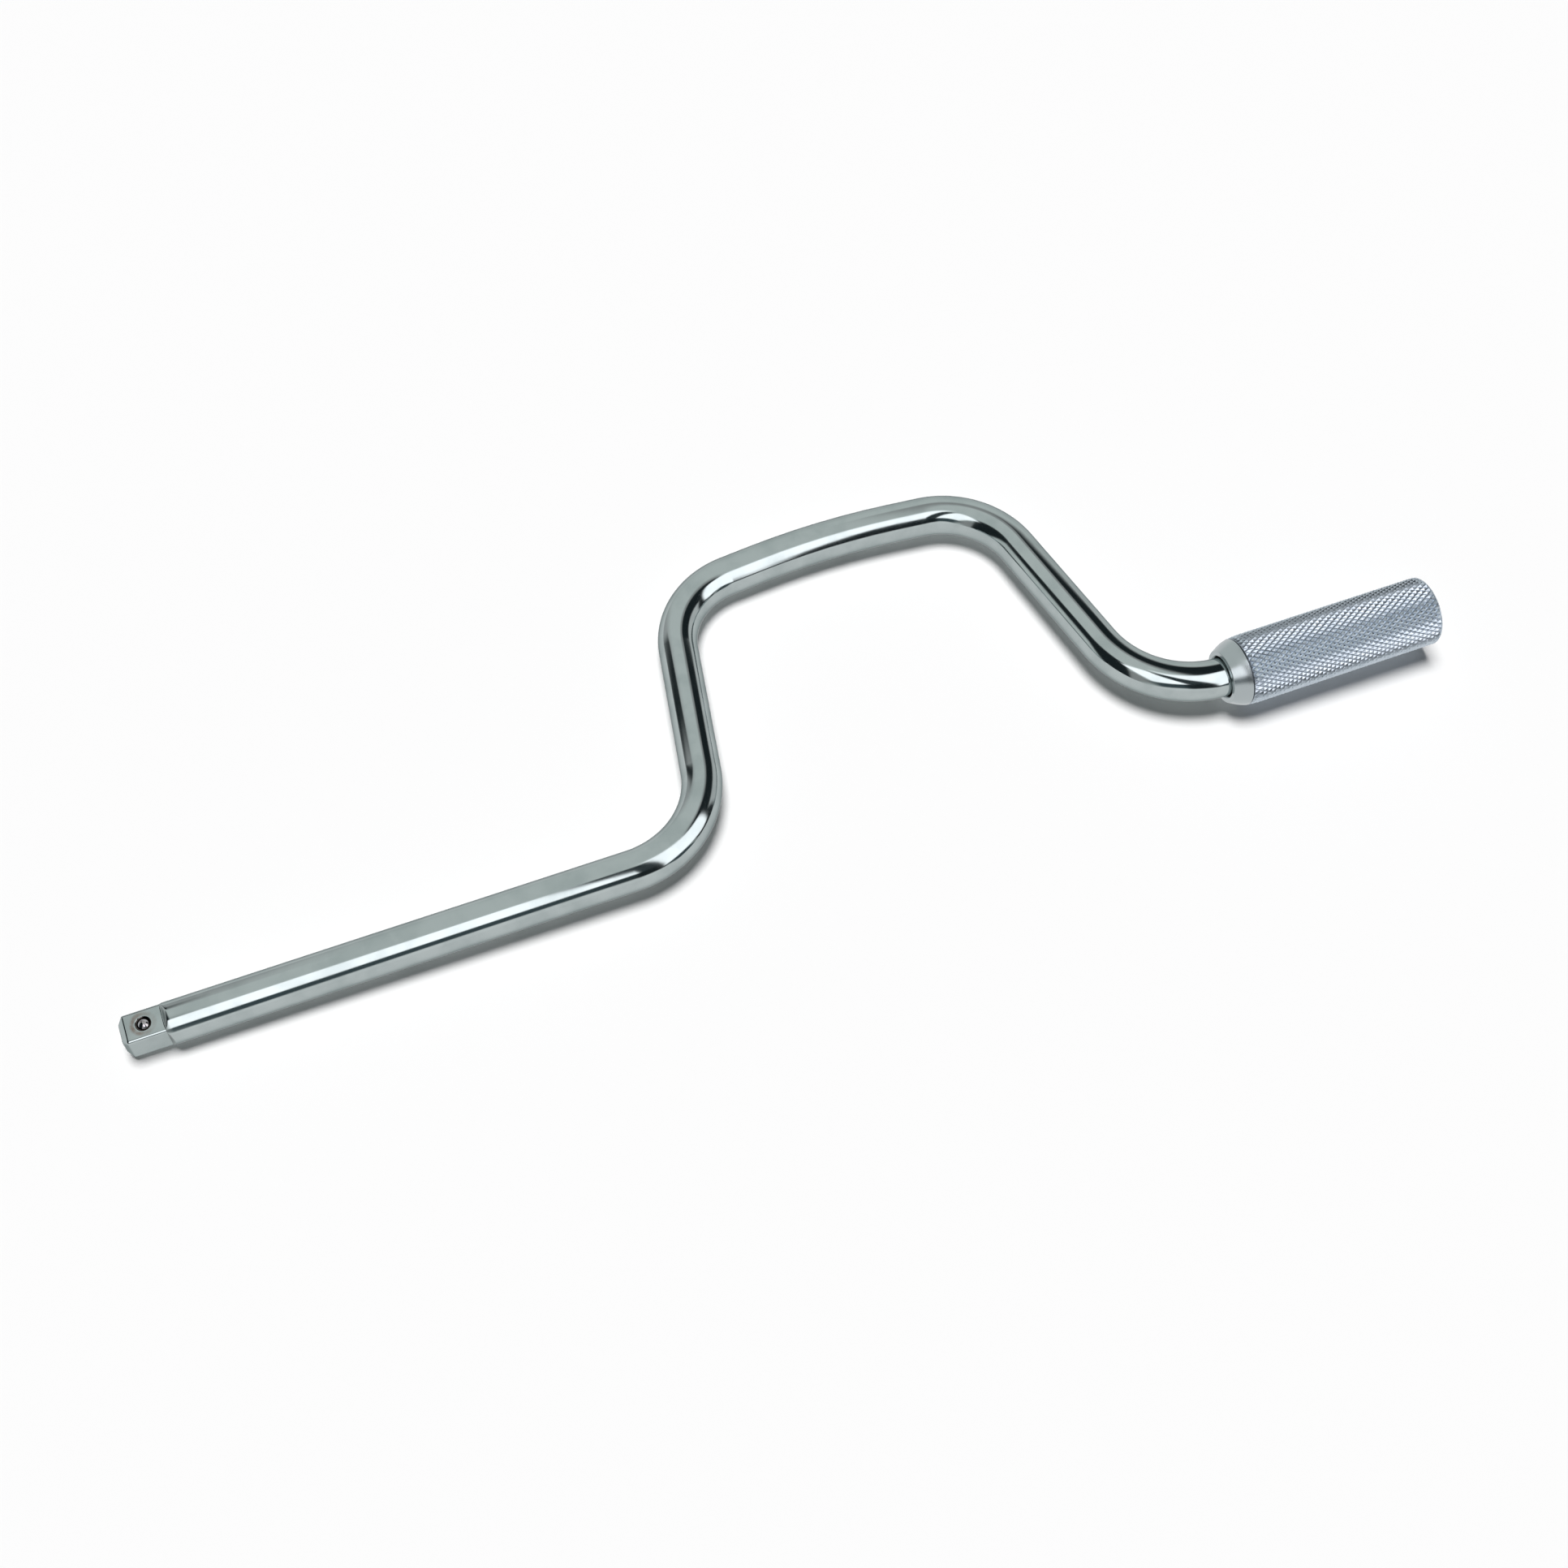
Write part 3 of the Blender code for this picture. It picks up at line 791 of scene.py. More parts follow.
@dataclass(frozen=True)
class CrankBar:
    """The bent bar with its drive square, staked ball hole and journal.

    Attributes:
        diameter: Diameter of the bar.
        square_width: Width across the square's flats.
        square_length: Length of the square.
        square_corner: Radius of the square's long edges.
        shoulder_lean: Run of the leaning shoulder.
        edge_round: Size of the roundings at the shoulder.
        edge_share: Most that a rounding takes of the shoulder's height.
        tip_face_width: Width of the tip's flat face.
        tip_corner: Radius of that face's corners.
        tip_bevel: Length of the four bevels that lead to it.
        tip_round: Size of the roundings at both ends of the bevels.
        drive_reach: Length from the shoulder to the first corner of the centre line.
        leg_lean: How far each leg leans along the tool.
        throw: Distance of the bow's ends from the tool's axis.
        bow_length: Length between the bow's corners.
        bow_rise: How far the bow's middle stands past its ends.
        end_bend_radius: Radius of the bends at the tool's axis.
        bow_bend_radius: Radius of the bends at the bow.
        bow_crown_radius: Radius of the bow's own curve.
        hole_from_shoulder: Distance of the ball's hole from the shoulder.
        hole_radius: Radius of the hole.
        hole_depth: Depth of the hole below the flat.
        hole_point: Depth of the drill's point.
        hole_segments: Edges round the hole.
        lip_radius: Radius inside the staked lip.
        lip_thickness: Thickness of the lip.
        dish_radius: Radius of the dish that the staking punch leaves over the lip.
        dish_depth: Depth of that dish.
        dish_belly: How far in and how much of its depth the dish's curve is pulled.
        drill_play: How much wider than the dish the drill is above the flat.
        mouth_reach: How far the grip's mouth reaches over the end of the last bend.
        journal_end: Distance of the bar's end from the grip's mouth.
        journal_chamfer: Chamfer at the bar's end.
        groove_front: Distance of the ring groove's front wall from the grip's mouth.
        groove_rear: Distance of its rear wall.
        groove_radius: Radius at the groove's bottom.
        sweep_start: Distance from the shoulder to the ring that the bar is drawn from.
        segments: Edges round the bar.
        crowding: How much closer those edges stand toward the corners of the square.
        bend_step: Largest angle between the rings of a bend, in degrees.
        sharp_angle: Angle past which an edge stays sharp, in degrees.
    """

    diameter: float = 12.7 * MM
    square_width: float = 9.525 * MM
    square_length: float = 12.6 * MM
    square_corner: float = 0.95 * MM
    shoulder_lean: float = 1.15 * MM
    edge_round: float = 0.28 * MM
    edge_share: float = 0.35
    tip_face_width: float = 6.0 * MM
    tip_corner: float = 0.7 * MM
    tip_bevel: float = 1.6 * MM
    tip_round: float = 0.40 * MM
    drive_reach: float = 167.0 * MM
    leg_lean: float = 18.0 * MM
    throw: float = 91.0 * MM
    bow_length: float = 110.0 * MM
    bow_rise: float = 5.4 * MM
    end_bend_radius: float = 32.0 * MM
    bow_bend_radius: float = 28.0 * MM
    bow_crown_radius: float = 250.0 * MM
    hole_from_shoulder: float = 5.6 * MM
    hole_radius: float = 2.135 * MM
    hole_depth: float = 7.2 * MM
    hole_point: float = 0.6 * MM
    hole_segments: int = 96
    lip_radius: float = 1.894 * MM
    lip_thickness: float = 0.3 * MM
    dish_radius: float = 2.35 * MM
    dish_depth: float = 0.22 * MM
    dish_belly: Pair = (0.15 * MM, 0.8)
    drill_play: float = 0.05 * MM
    mouth_reach: float = 1.0 * MM
    journal_end: float = 67.15 * MM
    journal_chamfer: float = 0.8 * MM
    groove_front: float = 60.8 * MM
    groove_rear: float = 62.4 * MM
    groove_radius: float = 5.55 * MM
    sweep_start: float = 2.0 * MM
    segments: int = 144
    crowding: float = 0.6
    bend_step: float = 2.0
    sharp_angle: float = 35.0

    @property
    def radius(self) -> float:
        """Radius of the bar."""
        return self.diameter / 2

    @property
    def flat_height(self) -> float:
        """Distance of the square's flats from the axis."""
        return self.square_width / 2

    def bends(self) -> list[Bend]:
        """Round bends of the centre line at its sharp corners.

        Returns:
            The bends, from the drive end to the grip.
        """
        bow_start = self.drive_reach + self.leg_lean
        bow_end = bow_start + self.bow_length
        bow_middle = ((bow_start + bow_end) / 2, self.throw + self.bow_rise)
        points = ((0.0, 0.0), (self.drive_reach, 0.0), (bow_start, self.throw), bow_middle,
                  (bow_end, self.throw), (bow_end + self.leg_lean, 0.0), (2 * bow_end, 0.0))
        corners = [Vector((*point, 0.0)) for point in points]
        radii = (self.end_bend_radius, self.bow_bend_radius, self.bow_crown_radius, self.bow_bend_radius,
                 self.end_bend_radius)
        bends = []
        for before, corner, after, radius in zip(corners, corners[1:], corners[2:], radii):
            arriving = (corner - before).normalized()
            leaving = (after - corner).normalized()
            turn = math.copysign(arriving.angle(leaving), arriving.cross(leaving).z)
            start = corner - arriving * radius * math.tan(abs(turn) / 2)
            inward = Vector((-arriving.y, arriving.x, 0.0)) * math.copysign(radius, turn)
            bends.append(Bend(start, start + inward, turn))
        return bends

    def mouth(self) -> float:
        """Place of the grip's mouth along the tool's axis."""
        return self.bends()[-1].end.x - self.mouth_reach

    def square_reach(self, turn: float, half: float, corner: float) -> float:
        """Radius of a rounded square's outline.

        Args:
            turn: Angle about the tool's axis.
            half: Half of the square's width.
            corner: Radius of the square's corners.

        Returns:
            Distance of the outline from the axis.
        """
        off_middle = abs((turn + RIGHT_ANGLE / 2) % RIGHT_ANGLE - RIGHT_ANGLE / 2)
        inset = half - corner
        if half * math.tan(off_middle) <= inset:
            return half / math.cos(off_middle)
        total = math.cos(off_middle) + math.sin(off_middle)
        under_root = corner ** 2 - inset ** 2 * (1 - math.sin(2 * off_middle))
        return inset * total + math.sqrt(max(under_root, 0.0))

    def drive_section(self, turn: float) -> Profile:
        """Section of the drive end, from the round bar over the leaning shoulder to the tip's face.

        Args:
            turn: Angle of the section about the tool's axis.

        Returns:
            Points as place along the axis and radius, with as many at every angle.
        """
        foot = self.square_reach(turn, self.flat_height, self.square_corner)
        height = max(self.radius - foot, 0.0)
        slope = self.shoulder_lean / (self.radius - self.flat_height)
        size = min(self.edge_round, self.edge_share * height)
        top = slope * height
        bevel = Vector((self.tip_bevel - self.square_length, foot))
        tip = Vector((-self.square_length, self.square_reach(turn, self.tip_face_width / 2, self.tip_corner)))
        step = (tip - bevel).normalized() * self.tip_round
        return [
            *rounded((top + size, self.radius), (top, self.radius), (top - size * slope, self.radius - size)),
            *rounded((size * slope, foot + size), (0.0, foot), (-size, foot)),
            *rounded((bevel.x + self.tip_round, bevel.y), bevel, bevel + step),
            *rounded(tip - step, tip, (tip.x, tip.y - self.tip_round)),
        ]

    def journal_steps(self) -> Profile:
        """Steps of the journal inside the grip: its ring groove and its end.

        Returns:
            Points as distance along the bar and radius.
        """
        mouth = self.mouth()
        return [
            (mouth + self.groove_front, self.radius),
            (mouth + self.groove_front, self.groove_radius),
            (mouth + self.groove_rear, self.groove_radius),
            (mouth + self.groove_rear, self.radius),
            (mouth + self.journal_end - self.journal_chamfer, self.radius),
            (mouth + self.journal_end, self.radius - self.journal_chamfer),
        ]

    def swept(self) -> Shape:
        """Model the bar before its hole is drilled.

        Returns:
            The closed shape in the tool's frame.
        """
        sweep = BarSweep(self.radius, self.segments, self.crowding, X_AXIS * self.sweep_start)
        for bend in self.bends():
            sweep.straight_to(bend.start)
            sweep.round_bend(bend, math.radians(self.bend_step))
        for point in self.journal_steps():
            sweep.shaped(lambda turn, point=point: point)
        sweep.cap()
        sweep.ring = sweep.first_ring
        for step in range(len(self.drive_section(0.0))):
            sweep.shaped(lambda turn, step=step: self.drive_section(turn)[step])
        sweep.cap()
        bmesh.ops.remove_doubles(sweep.shape, verts=sweep.shape.verts, dist=WELD)
        return sweep.shape

    def hole_profile(self) -> Profile:
        """Section of the drilled hole and its dished lip.

        Returns:
            Points as height above the tool's axis and distance from the hole's axis.
        """
        flat = self.flat_height
        floor = flat - self.hole_depth
        inset, fullness = self.dish_belly
        return [
            (self.radius, 0.0),
            (self.radius, self.dish_radius + self.drill_play),
            *rounded((flat, self.dish_radius), (flat - fullness * self.dish_depth, self.dish_radius - inset),
                     (flat - self.dish_depth, self.lip_radius)),
            (flat - self.lip_thickness, self.lip_radius),
            (flat - self.lip_thickness, self.hole_radius),
            (floor, self.hole_radius),
            (floor - self.hole_point, 0.0),
        ]

    def drill(self, piece: Piece, place: Matrix) -> None:
        """Drill the ball's hole into the finished bar.

        Args:
            piece: The bar.
            place: Matrix from the tool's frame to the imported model.
        """
        shape = spun(self.hole_profile(), Z_AXIS, self.hole_segments)
        lay(shape, place @ Matrix.Translation(X_AXIS * -self.hole_from_shoulder))
        cutter = placed("hole_drill", shape)
        boolean = piece.modifiers.new("hole", "BOOLEAN")
        boolean.operation = "DIFFERENCE"
        boolean.solver = "EXACT"
        boolean.object = cutter
        depsgraph = bpy.context.evaluated_depsgraph_get()
        piece.data = bpy.data.meshes.new_from_object(piece.evaluated_get(depsgraph))
        piece.data.name = piece.name
        piece.modifiers.clear()
        bpy.data.objects.remove(cutter, do_unlink=True)
        smooth(piece.data, self.sharp_angle)

    def build(self, tool: ToolFrame) -> None:
        """Model, drill and dress the bar.

        Args:
            tool: The tool's frame.
        """
        # Bright chrome plate: a cool grey mirror, slightly soft, with the bar's long waves under it.
        finish = PolishedPlate("polished_chrome_plate", "#B4BDBD", "#A8B2B2", 0.08, 0.12, 9.0 * MM, "#A8ADAD",
                               bar=Axis(tool.origin, tool.along),
                               hole=Axis(tool.point(-self.hole_from_shoulder, self.flat_height), tool.up))
        piece = finished_piece("crank_bar_plated", self.swept(), tool.matrix(), finish, self.sharp_angle)
        self.drill(piece, tool.matrix())
        weighted_normals(piece)
        join_frame(piece, Body.BAR, "crank_bar")


@dataclass(frozen=True)
class Detent:
    """The sprung ball in the square, with its spring.

    Attributes:
        ball_diameter: Diameter of the ball.
        ball_height: Height of the ball's centre above the tool's axis.
        ball_segments: Edges round the ball.
        spring_diameter: Outer diameter of the spring.
        wire: Diameter of the spring's wire.
        turns: Number of the spring's turns.
        spring_bottom: Height of the wire's lower end.
        spring_top: Height of the wire's upper end.
        travel: How far the ball is pressed in; not used.
        steps_per_turn: Steps in one turn of the wire.
        wire_segments: Edges round the wire.
    """

    ball_diameter: float = 3.97 * MM
    ball_height: float = 3.4775 * MM
    ball_segments: int = 64
    spring_diameter: float = 3.4 * MM
    wire: float = 0.4 * MM
    turns: int = 4
    spring_bottom: float = -2.0875 * MM
    spring_top: float = 1.6880 * MM
    travel: float = 0.8 * MM
    steps_per_turn: int = 40
    wire_segments: int = 12

    def build_ball(self, tool: ToolFrame, bar: CrankBar) -> None:
        """Model and dress the ball.

        Args:
            tool: The tool's frame.
            bar: The bar that holds it.
        """
        # Hardened bearing ball: a plain grey, very smooth steel with faint scuffs from sockets.
        finish = DrawnSteel("hardened_ball_steel", "#B8B6BA", "#9C9694", 0.07, 0.14,
                            grains=(Grain(0.15 * MM, 0.0006 * MM, 2.0),))
        shape = bmesh.new()
        bmesh.ops.create_uvsphere(shape, u_segments=self.ball_segments, v_segments=self.ball_segments // 2,
                                  radius=self.ball_diameter / 2)
        bmesh.ops.translate(shape, verts=shape.verts, vec=(-bar.hole_from_shoulder, 0.0, self.ball_height))
        piece = finished_piece("detent_ball_polished", shape, tool.matrix(), finish, sharp_angle=60)
        join_frame(piece, Body.DETENT, "detent_ball")

    def build_spring(self, tool: ToolFrame, bar: CrankBar) -> None:
        """Wind and dress the spring.

        Args:
            tool: The tool's frame.
            bar: The bar that holds it.
        """
        # Hard drawn wire: grey, with a dull sheen and fine scratches along the coil.
        finish = DrawnSteel("drawn_spring_wire", "#95959A", "#6F6E70", 0.28, 0.42)
        shape = bmesh.new()
        bmesh.ops.create_circle(shape, cap_ends=False, radius=self.wire / 2, segments=self.wire_segments)
        coil = (self.spring_diameter - self.wire) / 2
        start = Matrix.Translation((coil, 0.0, self.spring_bottom)) @ Matrix.Rotation(RIGHT_ANGLE, 4, "X")
        bmesh.ops.transform(shape, matrix=start, verts=shape.verts)
        first = list(shape.edges)
        steps = self.turns * self.steps_per_turn
        rise = (self.spring_top - self.spring_bottom) / steps
        wound = bmesh.ops.spin(shape, geom=first, cent=ORIGIN, axis=Z_AXIS, dvec=Z_AXIS * rise,
                               angle=FULL_TURN * self.turns, steps=steps)
        for end in (first, edges_of(wound["geom_last"])):
            bmesh.ops.edgeloop_fill(shape, edges=end)
        bmesh.ops.translate(shape, verts=shape.verts, vec=(-bar.hole_from_shoulder, 0.0, 0.0))
        piece = finished_piece("detent_spring_wound", shape, tool.matrix(), finish, sharp_angle=50)
        join_frame(piece, Body.BAR, "detent_spring")
        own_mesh(piece)


@dataclass(frozen=True)
class Grip:
    """The knurled sleeve that spins on the journal, and the plug in its far end.

    Attributes:
        diameter: Diameter over the knurl's crests.
        length: Length of the sleeve.
        bore_radius: Radius of the bore for the journal.
        bore_chamfer: Chamfer at the bore's mouth.
        nose_face_diameter: Diameter of the nose's front face.
        nose_length: Length of the nose's cone up to where it would meet full diameter.
        nose_blend_radius: Radius that blends the cone into the body.
        nose_edge_radius: Radius at the front face's edge.
        groove_from_mouth: Distance of the groove before the knurl from the mouth.
        groove_width: Width of that groove.
        groove_depth: Depth of that groove.
        groove_flat: Width of its bottom.
        groove_land: Least length of plain surface before it.
        rim_radius: Radius at the far edge.
        rim_inset: How far the far rim lies below the knurl's crests.
        rim_start: How far behind and below the knurl's end the far rim starts.
        chamber_radius: Radius of the chamber for washer and ring.
        chamber_front: Distance of the chamber's front wall from the mouth.
        seat_radius: Radius of the plug's seat.
        seat_front: Distance of the seat's step from the mouth.
        seat_chamfer: Chamfer at the seat's mouth.
        starts: Number of helical grooves in each of the knurl's two families.
        rows: Whole diamonds along the knurl.
        knurl_depth: Depth of the knurl.
        knurl_front: Distance of the knurl's start from the mouth.
        knurl_rear: Distance of its end.
        flank: Width of the diamonds' lower flanks.
        crown: Width of their rounded crowns.
        crown_rise: Height of the crowns.
        fine_steps: Turned steps for each start of the knurl.
        edge_steps: Steps in the roundings at both edges.
        blend_steps: Steps in the nose's blend.
        plug_radius: Radius of the plug.
        plug_inner: Distance of the plug's inner face from the mouth.
        plug_outer: Distance of its outer face.
        plug_round: Size of the roundings at the plug's edges.
    """

    diameter: float = 22.588 * MM
    length: float = 73.2 * MM
    bore_radius: float = 6.75 * MM
    bore_chamfer: float = 0.4 * MM
    nose_face_diameter: float = 17.1 * MM
    nose_length: float = 5.1 * MM
    nose_blend_radius: float = 13.6 * MM
    nose_edge_radius: float = 0.4 * MM
    groove_from_mouth: float = 5.4 * MM
    groove_width: float = 0.5 * MM
    groove_depth: float = 0.3 * MM
    groove_flat: float = 0.16 * MM
    groove_land: float = 0.1 * MM
    rim_radius: float = 0.5 * MM
    rim_inset: float = 0.12 * MM
    rim_start: Pair = (0.1 * MM, 0.2 * MM)
    chamber_radius: float = 9.2 * MM
    chamber_front: float = 59.55 * MM
    seat_radius: float = 9.9 * MM
    seat_front: float = 67.15 * MM
    seat_chamfer: float = 0.15 * MM
    starts: int = 41
    rows: int = 22
    knurl_depth: float = 0.55 * MM
    knurl_front: float = 6.05 * MM
    knurl_rear: float = 72.55 * MM
    flank: float = 0.60 * MM
    crown: float = 0.10 * MM
    crown_rise: float = 0.04 * MM
    fine_steps: int = 4
    edge_steps: int = 6
    blend_steps: int = 24
    plug_radius: float = 9.65 * MM
    plug_inner: float = 67.4 * MM
    plug_outer: float = 72.8 * MM
    plug_round: float = 0.5 * MM

    @property
    def radius(self) -> float:
        """Radius over the knurl's crests."""
        return self.diameter / 2

    def nose_outline(self) -> Profile:
        """Nose from its front face to full diameter: edge round, cone and large blend.

        Returns:
            Points as distance from the mouth and radius.
        """
        face = self.nose_face_diameter / 2
        slope = math.atan2(self.radius - face, self.nose_length)
        cone = RIGHT_ANGLE + slope
        edge_run = self.nose_edge_radius * math.tan((RIGHT_ANGLE - slope) / 2)
        edge_centre = (self.nose_edge_radius, face - edge_run)
        blend_run = self.nose_blend_radius * math.tan(slope / 2)
        blend_centre = (self.nose_length + blend_run, self.radius - self.nose_blend_radius)
        return [*arc(edge_centre, self.nose_edge_radius, math.pi, cone, self.edge_steps),
                *arc(blend_centre, self.nose_blend_radius, cone, RIGHT_ANGLE, self.blend_steps)]

    def outline_radius(self, along: float) -> float:
        """Radius over the nose and body.

        Args:
            along: Distance from the mouth.

        Returns:
            Radius there.
        """
        outline = self.nose_outline()
        for (x, r), (next_x, next_r) in zip(outline, outline[1:]):
            if x <= along <= next_x:
                return r + (next_r - r) * (along - x) / (next_x - x)
        return self.radius

    def turned_profile(self) -> Profile:
        """Section of all that is turned, from behind the knurl round through the bore to before the knurl.

        Returns:
            Points as distance from the mouth and radius.
        """
        start = self.groove_from_mouth
        end = start + self.groove_width
        middle = (start + end) / 2
        bottom = self.outline_radius(middle) - self.groove_depth
        behind, below = self.rim_start
        rim_centre = (self.length - self.rim_radius, self.radius - self.rim_inset - self.rim_radius)
        return [
            (self.knurl_rear + behind, self.radius - below),
            *arc(rim_centre, self.rim_radius, RIGHT_ANGLE, 0.0, self.edge_steps),
            (self.length, self.seat_radius + self.seat_chamfer),
            (self.length - self.seat_chamfer, self.seat_radius),
            (self.seat_front, self.seat_radius),
            (self.seat_front, self.chamber_radius),
            (self.chamber_front, self.chamber_radius),
            (self.chamber_front, self.bore_radius),
            (self.bore_chamfer, self.bore_radius),
            (0.0, self.bore_radius + self.bore_chamfer),
            *(point for point in self.nose_outline() if point[0] < start - self.groove_land),
            (start, self.outline_radius(start)),
            (middle - self.groove_flat / 2, bottom),
            (middle + self.groove_flat / 2, bottom),
            (end, self.outline_radius(end) - self.groove_depth),
        ]

    def lift(self, vert: bmesh.types.BMVert, height: float) -> None:
        """Move a vertex in or out to a height over the bottom of the knurl's grooves."""
        reach = self.outline_radius(vert.co.x) - self.knurl_depth + height
        vert.co.yz *= reach / vert.co.yz.length

    def knurl(self) -> Shape:
        """Roll the knurl: a net of diamonds on the sleeve, each raised into a blunt pyramid.

        Returns:
            The knurled band, open at both ends, with half pyramids along its edges.
        """
        shape = bmesh.new()
        bmesh.ops.create_grid(shape, x_segments=self.rows, y_segments=self.starts, size=0.5)
        span = self.knurl_rear - self.knurl_front
        for vert in shape.verts:
            along = self.knurl_front + span * (vert.co.x + 0.5)
            turn = FULL_TURN * (vert.co.y + 0.5)
            vert.co = (along, math.sin(turn), math.cos(turn))
        bmesh.ops.remove_doubles(shape, verts=shape.verts, dist=WELD)
        net = [edge for edge in shape.edges if not edge.is_boundary]
        bmesh.ops.poke(shape, faces=shape.faces[:])
        bmesh.ops.dissolve_edges(shape, edges=net)
        border = [edge for edge in shape.edges if edge.is_boundary]
        bmesh.ops.subdivide_edges(shape, edges=border, cuts=self.fine_steps - 1)
        for vert in shape.verts:
            self.lift(vert, 0.0)
        tops = [face for face in shape.faces if len(face.verts) == DIAMOND_SIDES]
        self.raise_border(shape)
        for width, rise in ((self.flank, self.knurl_depth - self.crown_rise), (self.crown, self.crown_rise)):
            bmesh.ops.inset_individual(shape, faces=tops, thickness=width, depth=rise, use_even_offset=True)
        return shape

    def raise_border(self, shape: Shape) -> None:
        """Raise the half diamonds along both edges of the knurl into half pyramids.

        Args:
            shape: The knurl's net, on the bottom of its grooves.
        """
        for face in [face for face in shape.faces if len(face.verts) > DIAMOND_SIDES]:
            outer = [vert for vert in face.verts if vert.is_boundary]
            for vert in outer:
                place = math.atan2(vert.co.y, vert.co.z) * self.starts / FULL_TURN % 1.0
                self.lift(vert, self.knurl_depth * (1 - abs(2 * place - 1)))
            top = max(outer, key=lambda vert: vert.co.yz.length)
            root = next(vert for vert in face.verts if not vert.is_boundary)
            bmesh.ops.connect_verts(shape, verts=[top, root])

    def sleeve(self) -> Shape:
        """Model the whole sleeve about the tool's axis, with its mouth at zero.

        Returns:
            The closed shape.
        """
        shape = self.knurl()
        turned = spun(self.turned_profile(), X_AXIS, self.starts * self.fine_steps)
        mesh = bpy.data.meshes.new("sleeve_turned")
        turned.to_mesh(mesh)
        turned.free()
        shape.from_mesh(mesh)
        bpy.data.meshes.remove(mesh)
        open_edges = [edge for edge in shape.edges if edge.is_boundary]
        for near_mouth in (True, False):
            loop = [edge for edge in open_edges if (edge.verts[0].co.x < self.length / 2) == near_mouth]
            bmesh.ops.bridge_loops(shape, edges=loop)
        return shape

    def plug(self) -> Shape:
        """Model the plug about the tool's axis, with the sleeve's mouth at zero.

        Returns:
            The closed shape.
        """
        inner, outer, radius, size = self.plug_inner, self.plug_outer, self.plug_radius, self.plug_round
        profile = [
            (inner, 0.0),
            *rounded((inner, radius - size), (inner, radius), (inner + size, radius)),
            *rounded((outer - size, radius), (outer, radius), (outer, radius - size)),
            (outer, 0.0),
        ]
        return spun(profile, X_AXIS, self.starts * self.fine_steps)

    def build(self, tool: ToolFrame, bar: CrankBar) -> None:
        """Model and dress the sleeve, and the plug that closes its far end.

        Args:
            tool: The tool's frame.
            bar: The bar that the sleeve spins on.
        """
        axis = Axis(tool.point(bar.mouth(), 0.0), tool.along)
        place = tool.matrix() @ Matrix.Translation(X_AXIS * bar.mouth())
        # Chrome over a knurl: a bluish grey that is duller than the bar, with glints on the flanks and
        # painted shade in the grooves.
        knurled = KnurledPlate("knurled_chrome_plate", "#C3CDD6", "#B9C4CE", 0.24, 0.30, grip=axis,
                               nose_end=self.groove_from_mouth, ring_width=self.groove_width,
                               floor_radius=self.radius - self.knurl_depth)
        # Faced and plated steel: a satin disc with fine rings from the lathe, and painted shade on some
        # rings.
        faced = TurnedPlate("faced_chrome_plate", "#B6BEC0", "#B0B8BA", 0.18, 0.24, 6.0 * MM, lathe=axis)
        sleeve = finished_piece("grip_sleeve_knurled", self.sleeve(), place, knurled, sharp_angle=25)
        plug = finished_piece("end_plug_faced", self.plug(), place, faced, sharp_angle=35)
        for piece, slot, node in ((sleeve, Slot.GRIP, "grip_sleeve"), (plug, Slot.PLUG, "end_plug")):
            weighted_normals(piece)
            join_frame(piece, Body.GRIP, node)


@dataclass(frozen=True)
class HiddenFittings:
    """The washer and the ring inside the grip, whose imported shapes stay.

    Attributes:
        thrust_washer: Finish of the washer.
        retaining_ring: Finish of the ring.
    """

    # Plain rolled steel washer: mid grey with a soft sheen.
    thrust_washer: Finish = DrawnSteel("rolled_washer_steel", "#B4B4B2", "#8E8C88", 0.32, 0.45)
    # Phosphated spring steel: near black and matt, greyer where it has rubbed.
    retaining_ring: Finish = DrawnSteel("phosphated_ring_steel", "#5A5A5C", "#3A3A3B", 0.42, 0.60)

    def dress(self, nodes: dict[str, Piece]) -> None:
        """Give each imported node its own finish.

        Args:
            nodes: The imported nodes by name.
        """
        for name, finish in vars(self).items():
            nodes[name].material_slots[0].material = finish.material()
            LOG.info("%s: packed shape with %s", name, finish.name)


@dataclass(frozen=True)
class Board:
    """A lit or dark board of the light tent, as a soft-edged patch of directions.

    Directions are degrees from straight overhead, to the right and to the back.

    Attributes:
        name: What the board is.
        light: Its brightness.
        edges: Its sides as (right, back, offset, softness): inside is where right times the direction's right
            part plus back times its back part plus offset is above zero.
        colour: Its colour.
    """

    name: str
    light: float
    edges: tuple[tuple[float, float, float, float], ...]
    colour: str = "#FFFFFF"

    def share(self, add: Adder, spread: Socket) -> Socket:
        """Share of the board at a direction.

        Args:
            add: Adds a node to the tree.
            spread: Directions in degrees from overhead.

        Returns:
            One inside the board and zero outside.
        """
        edges = []
        for right, back, offset, softness in self.edges:
            depth = add("ShaderNodeVectorMath", {0: spread, 1: (right, back, 0.0)}, "Value",
                        operation="DOT_PRODUCT")
            edges.append((depth, -offset - softness, -offset + softness))
        return region(add, 1.0, *edges)


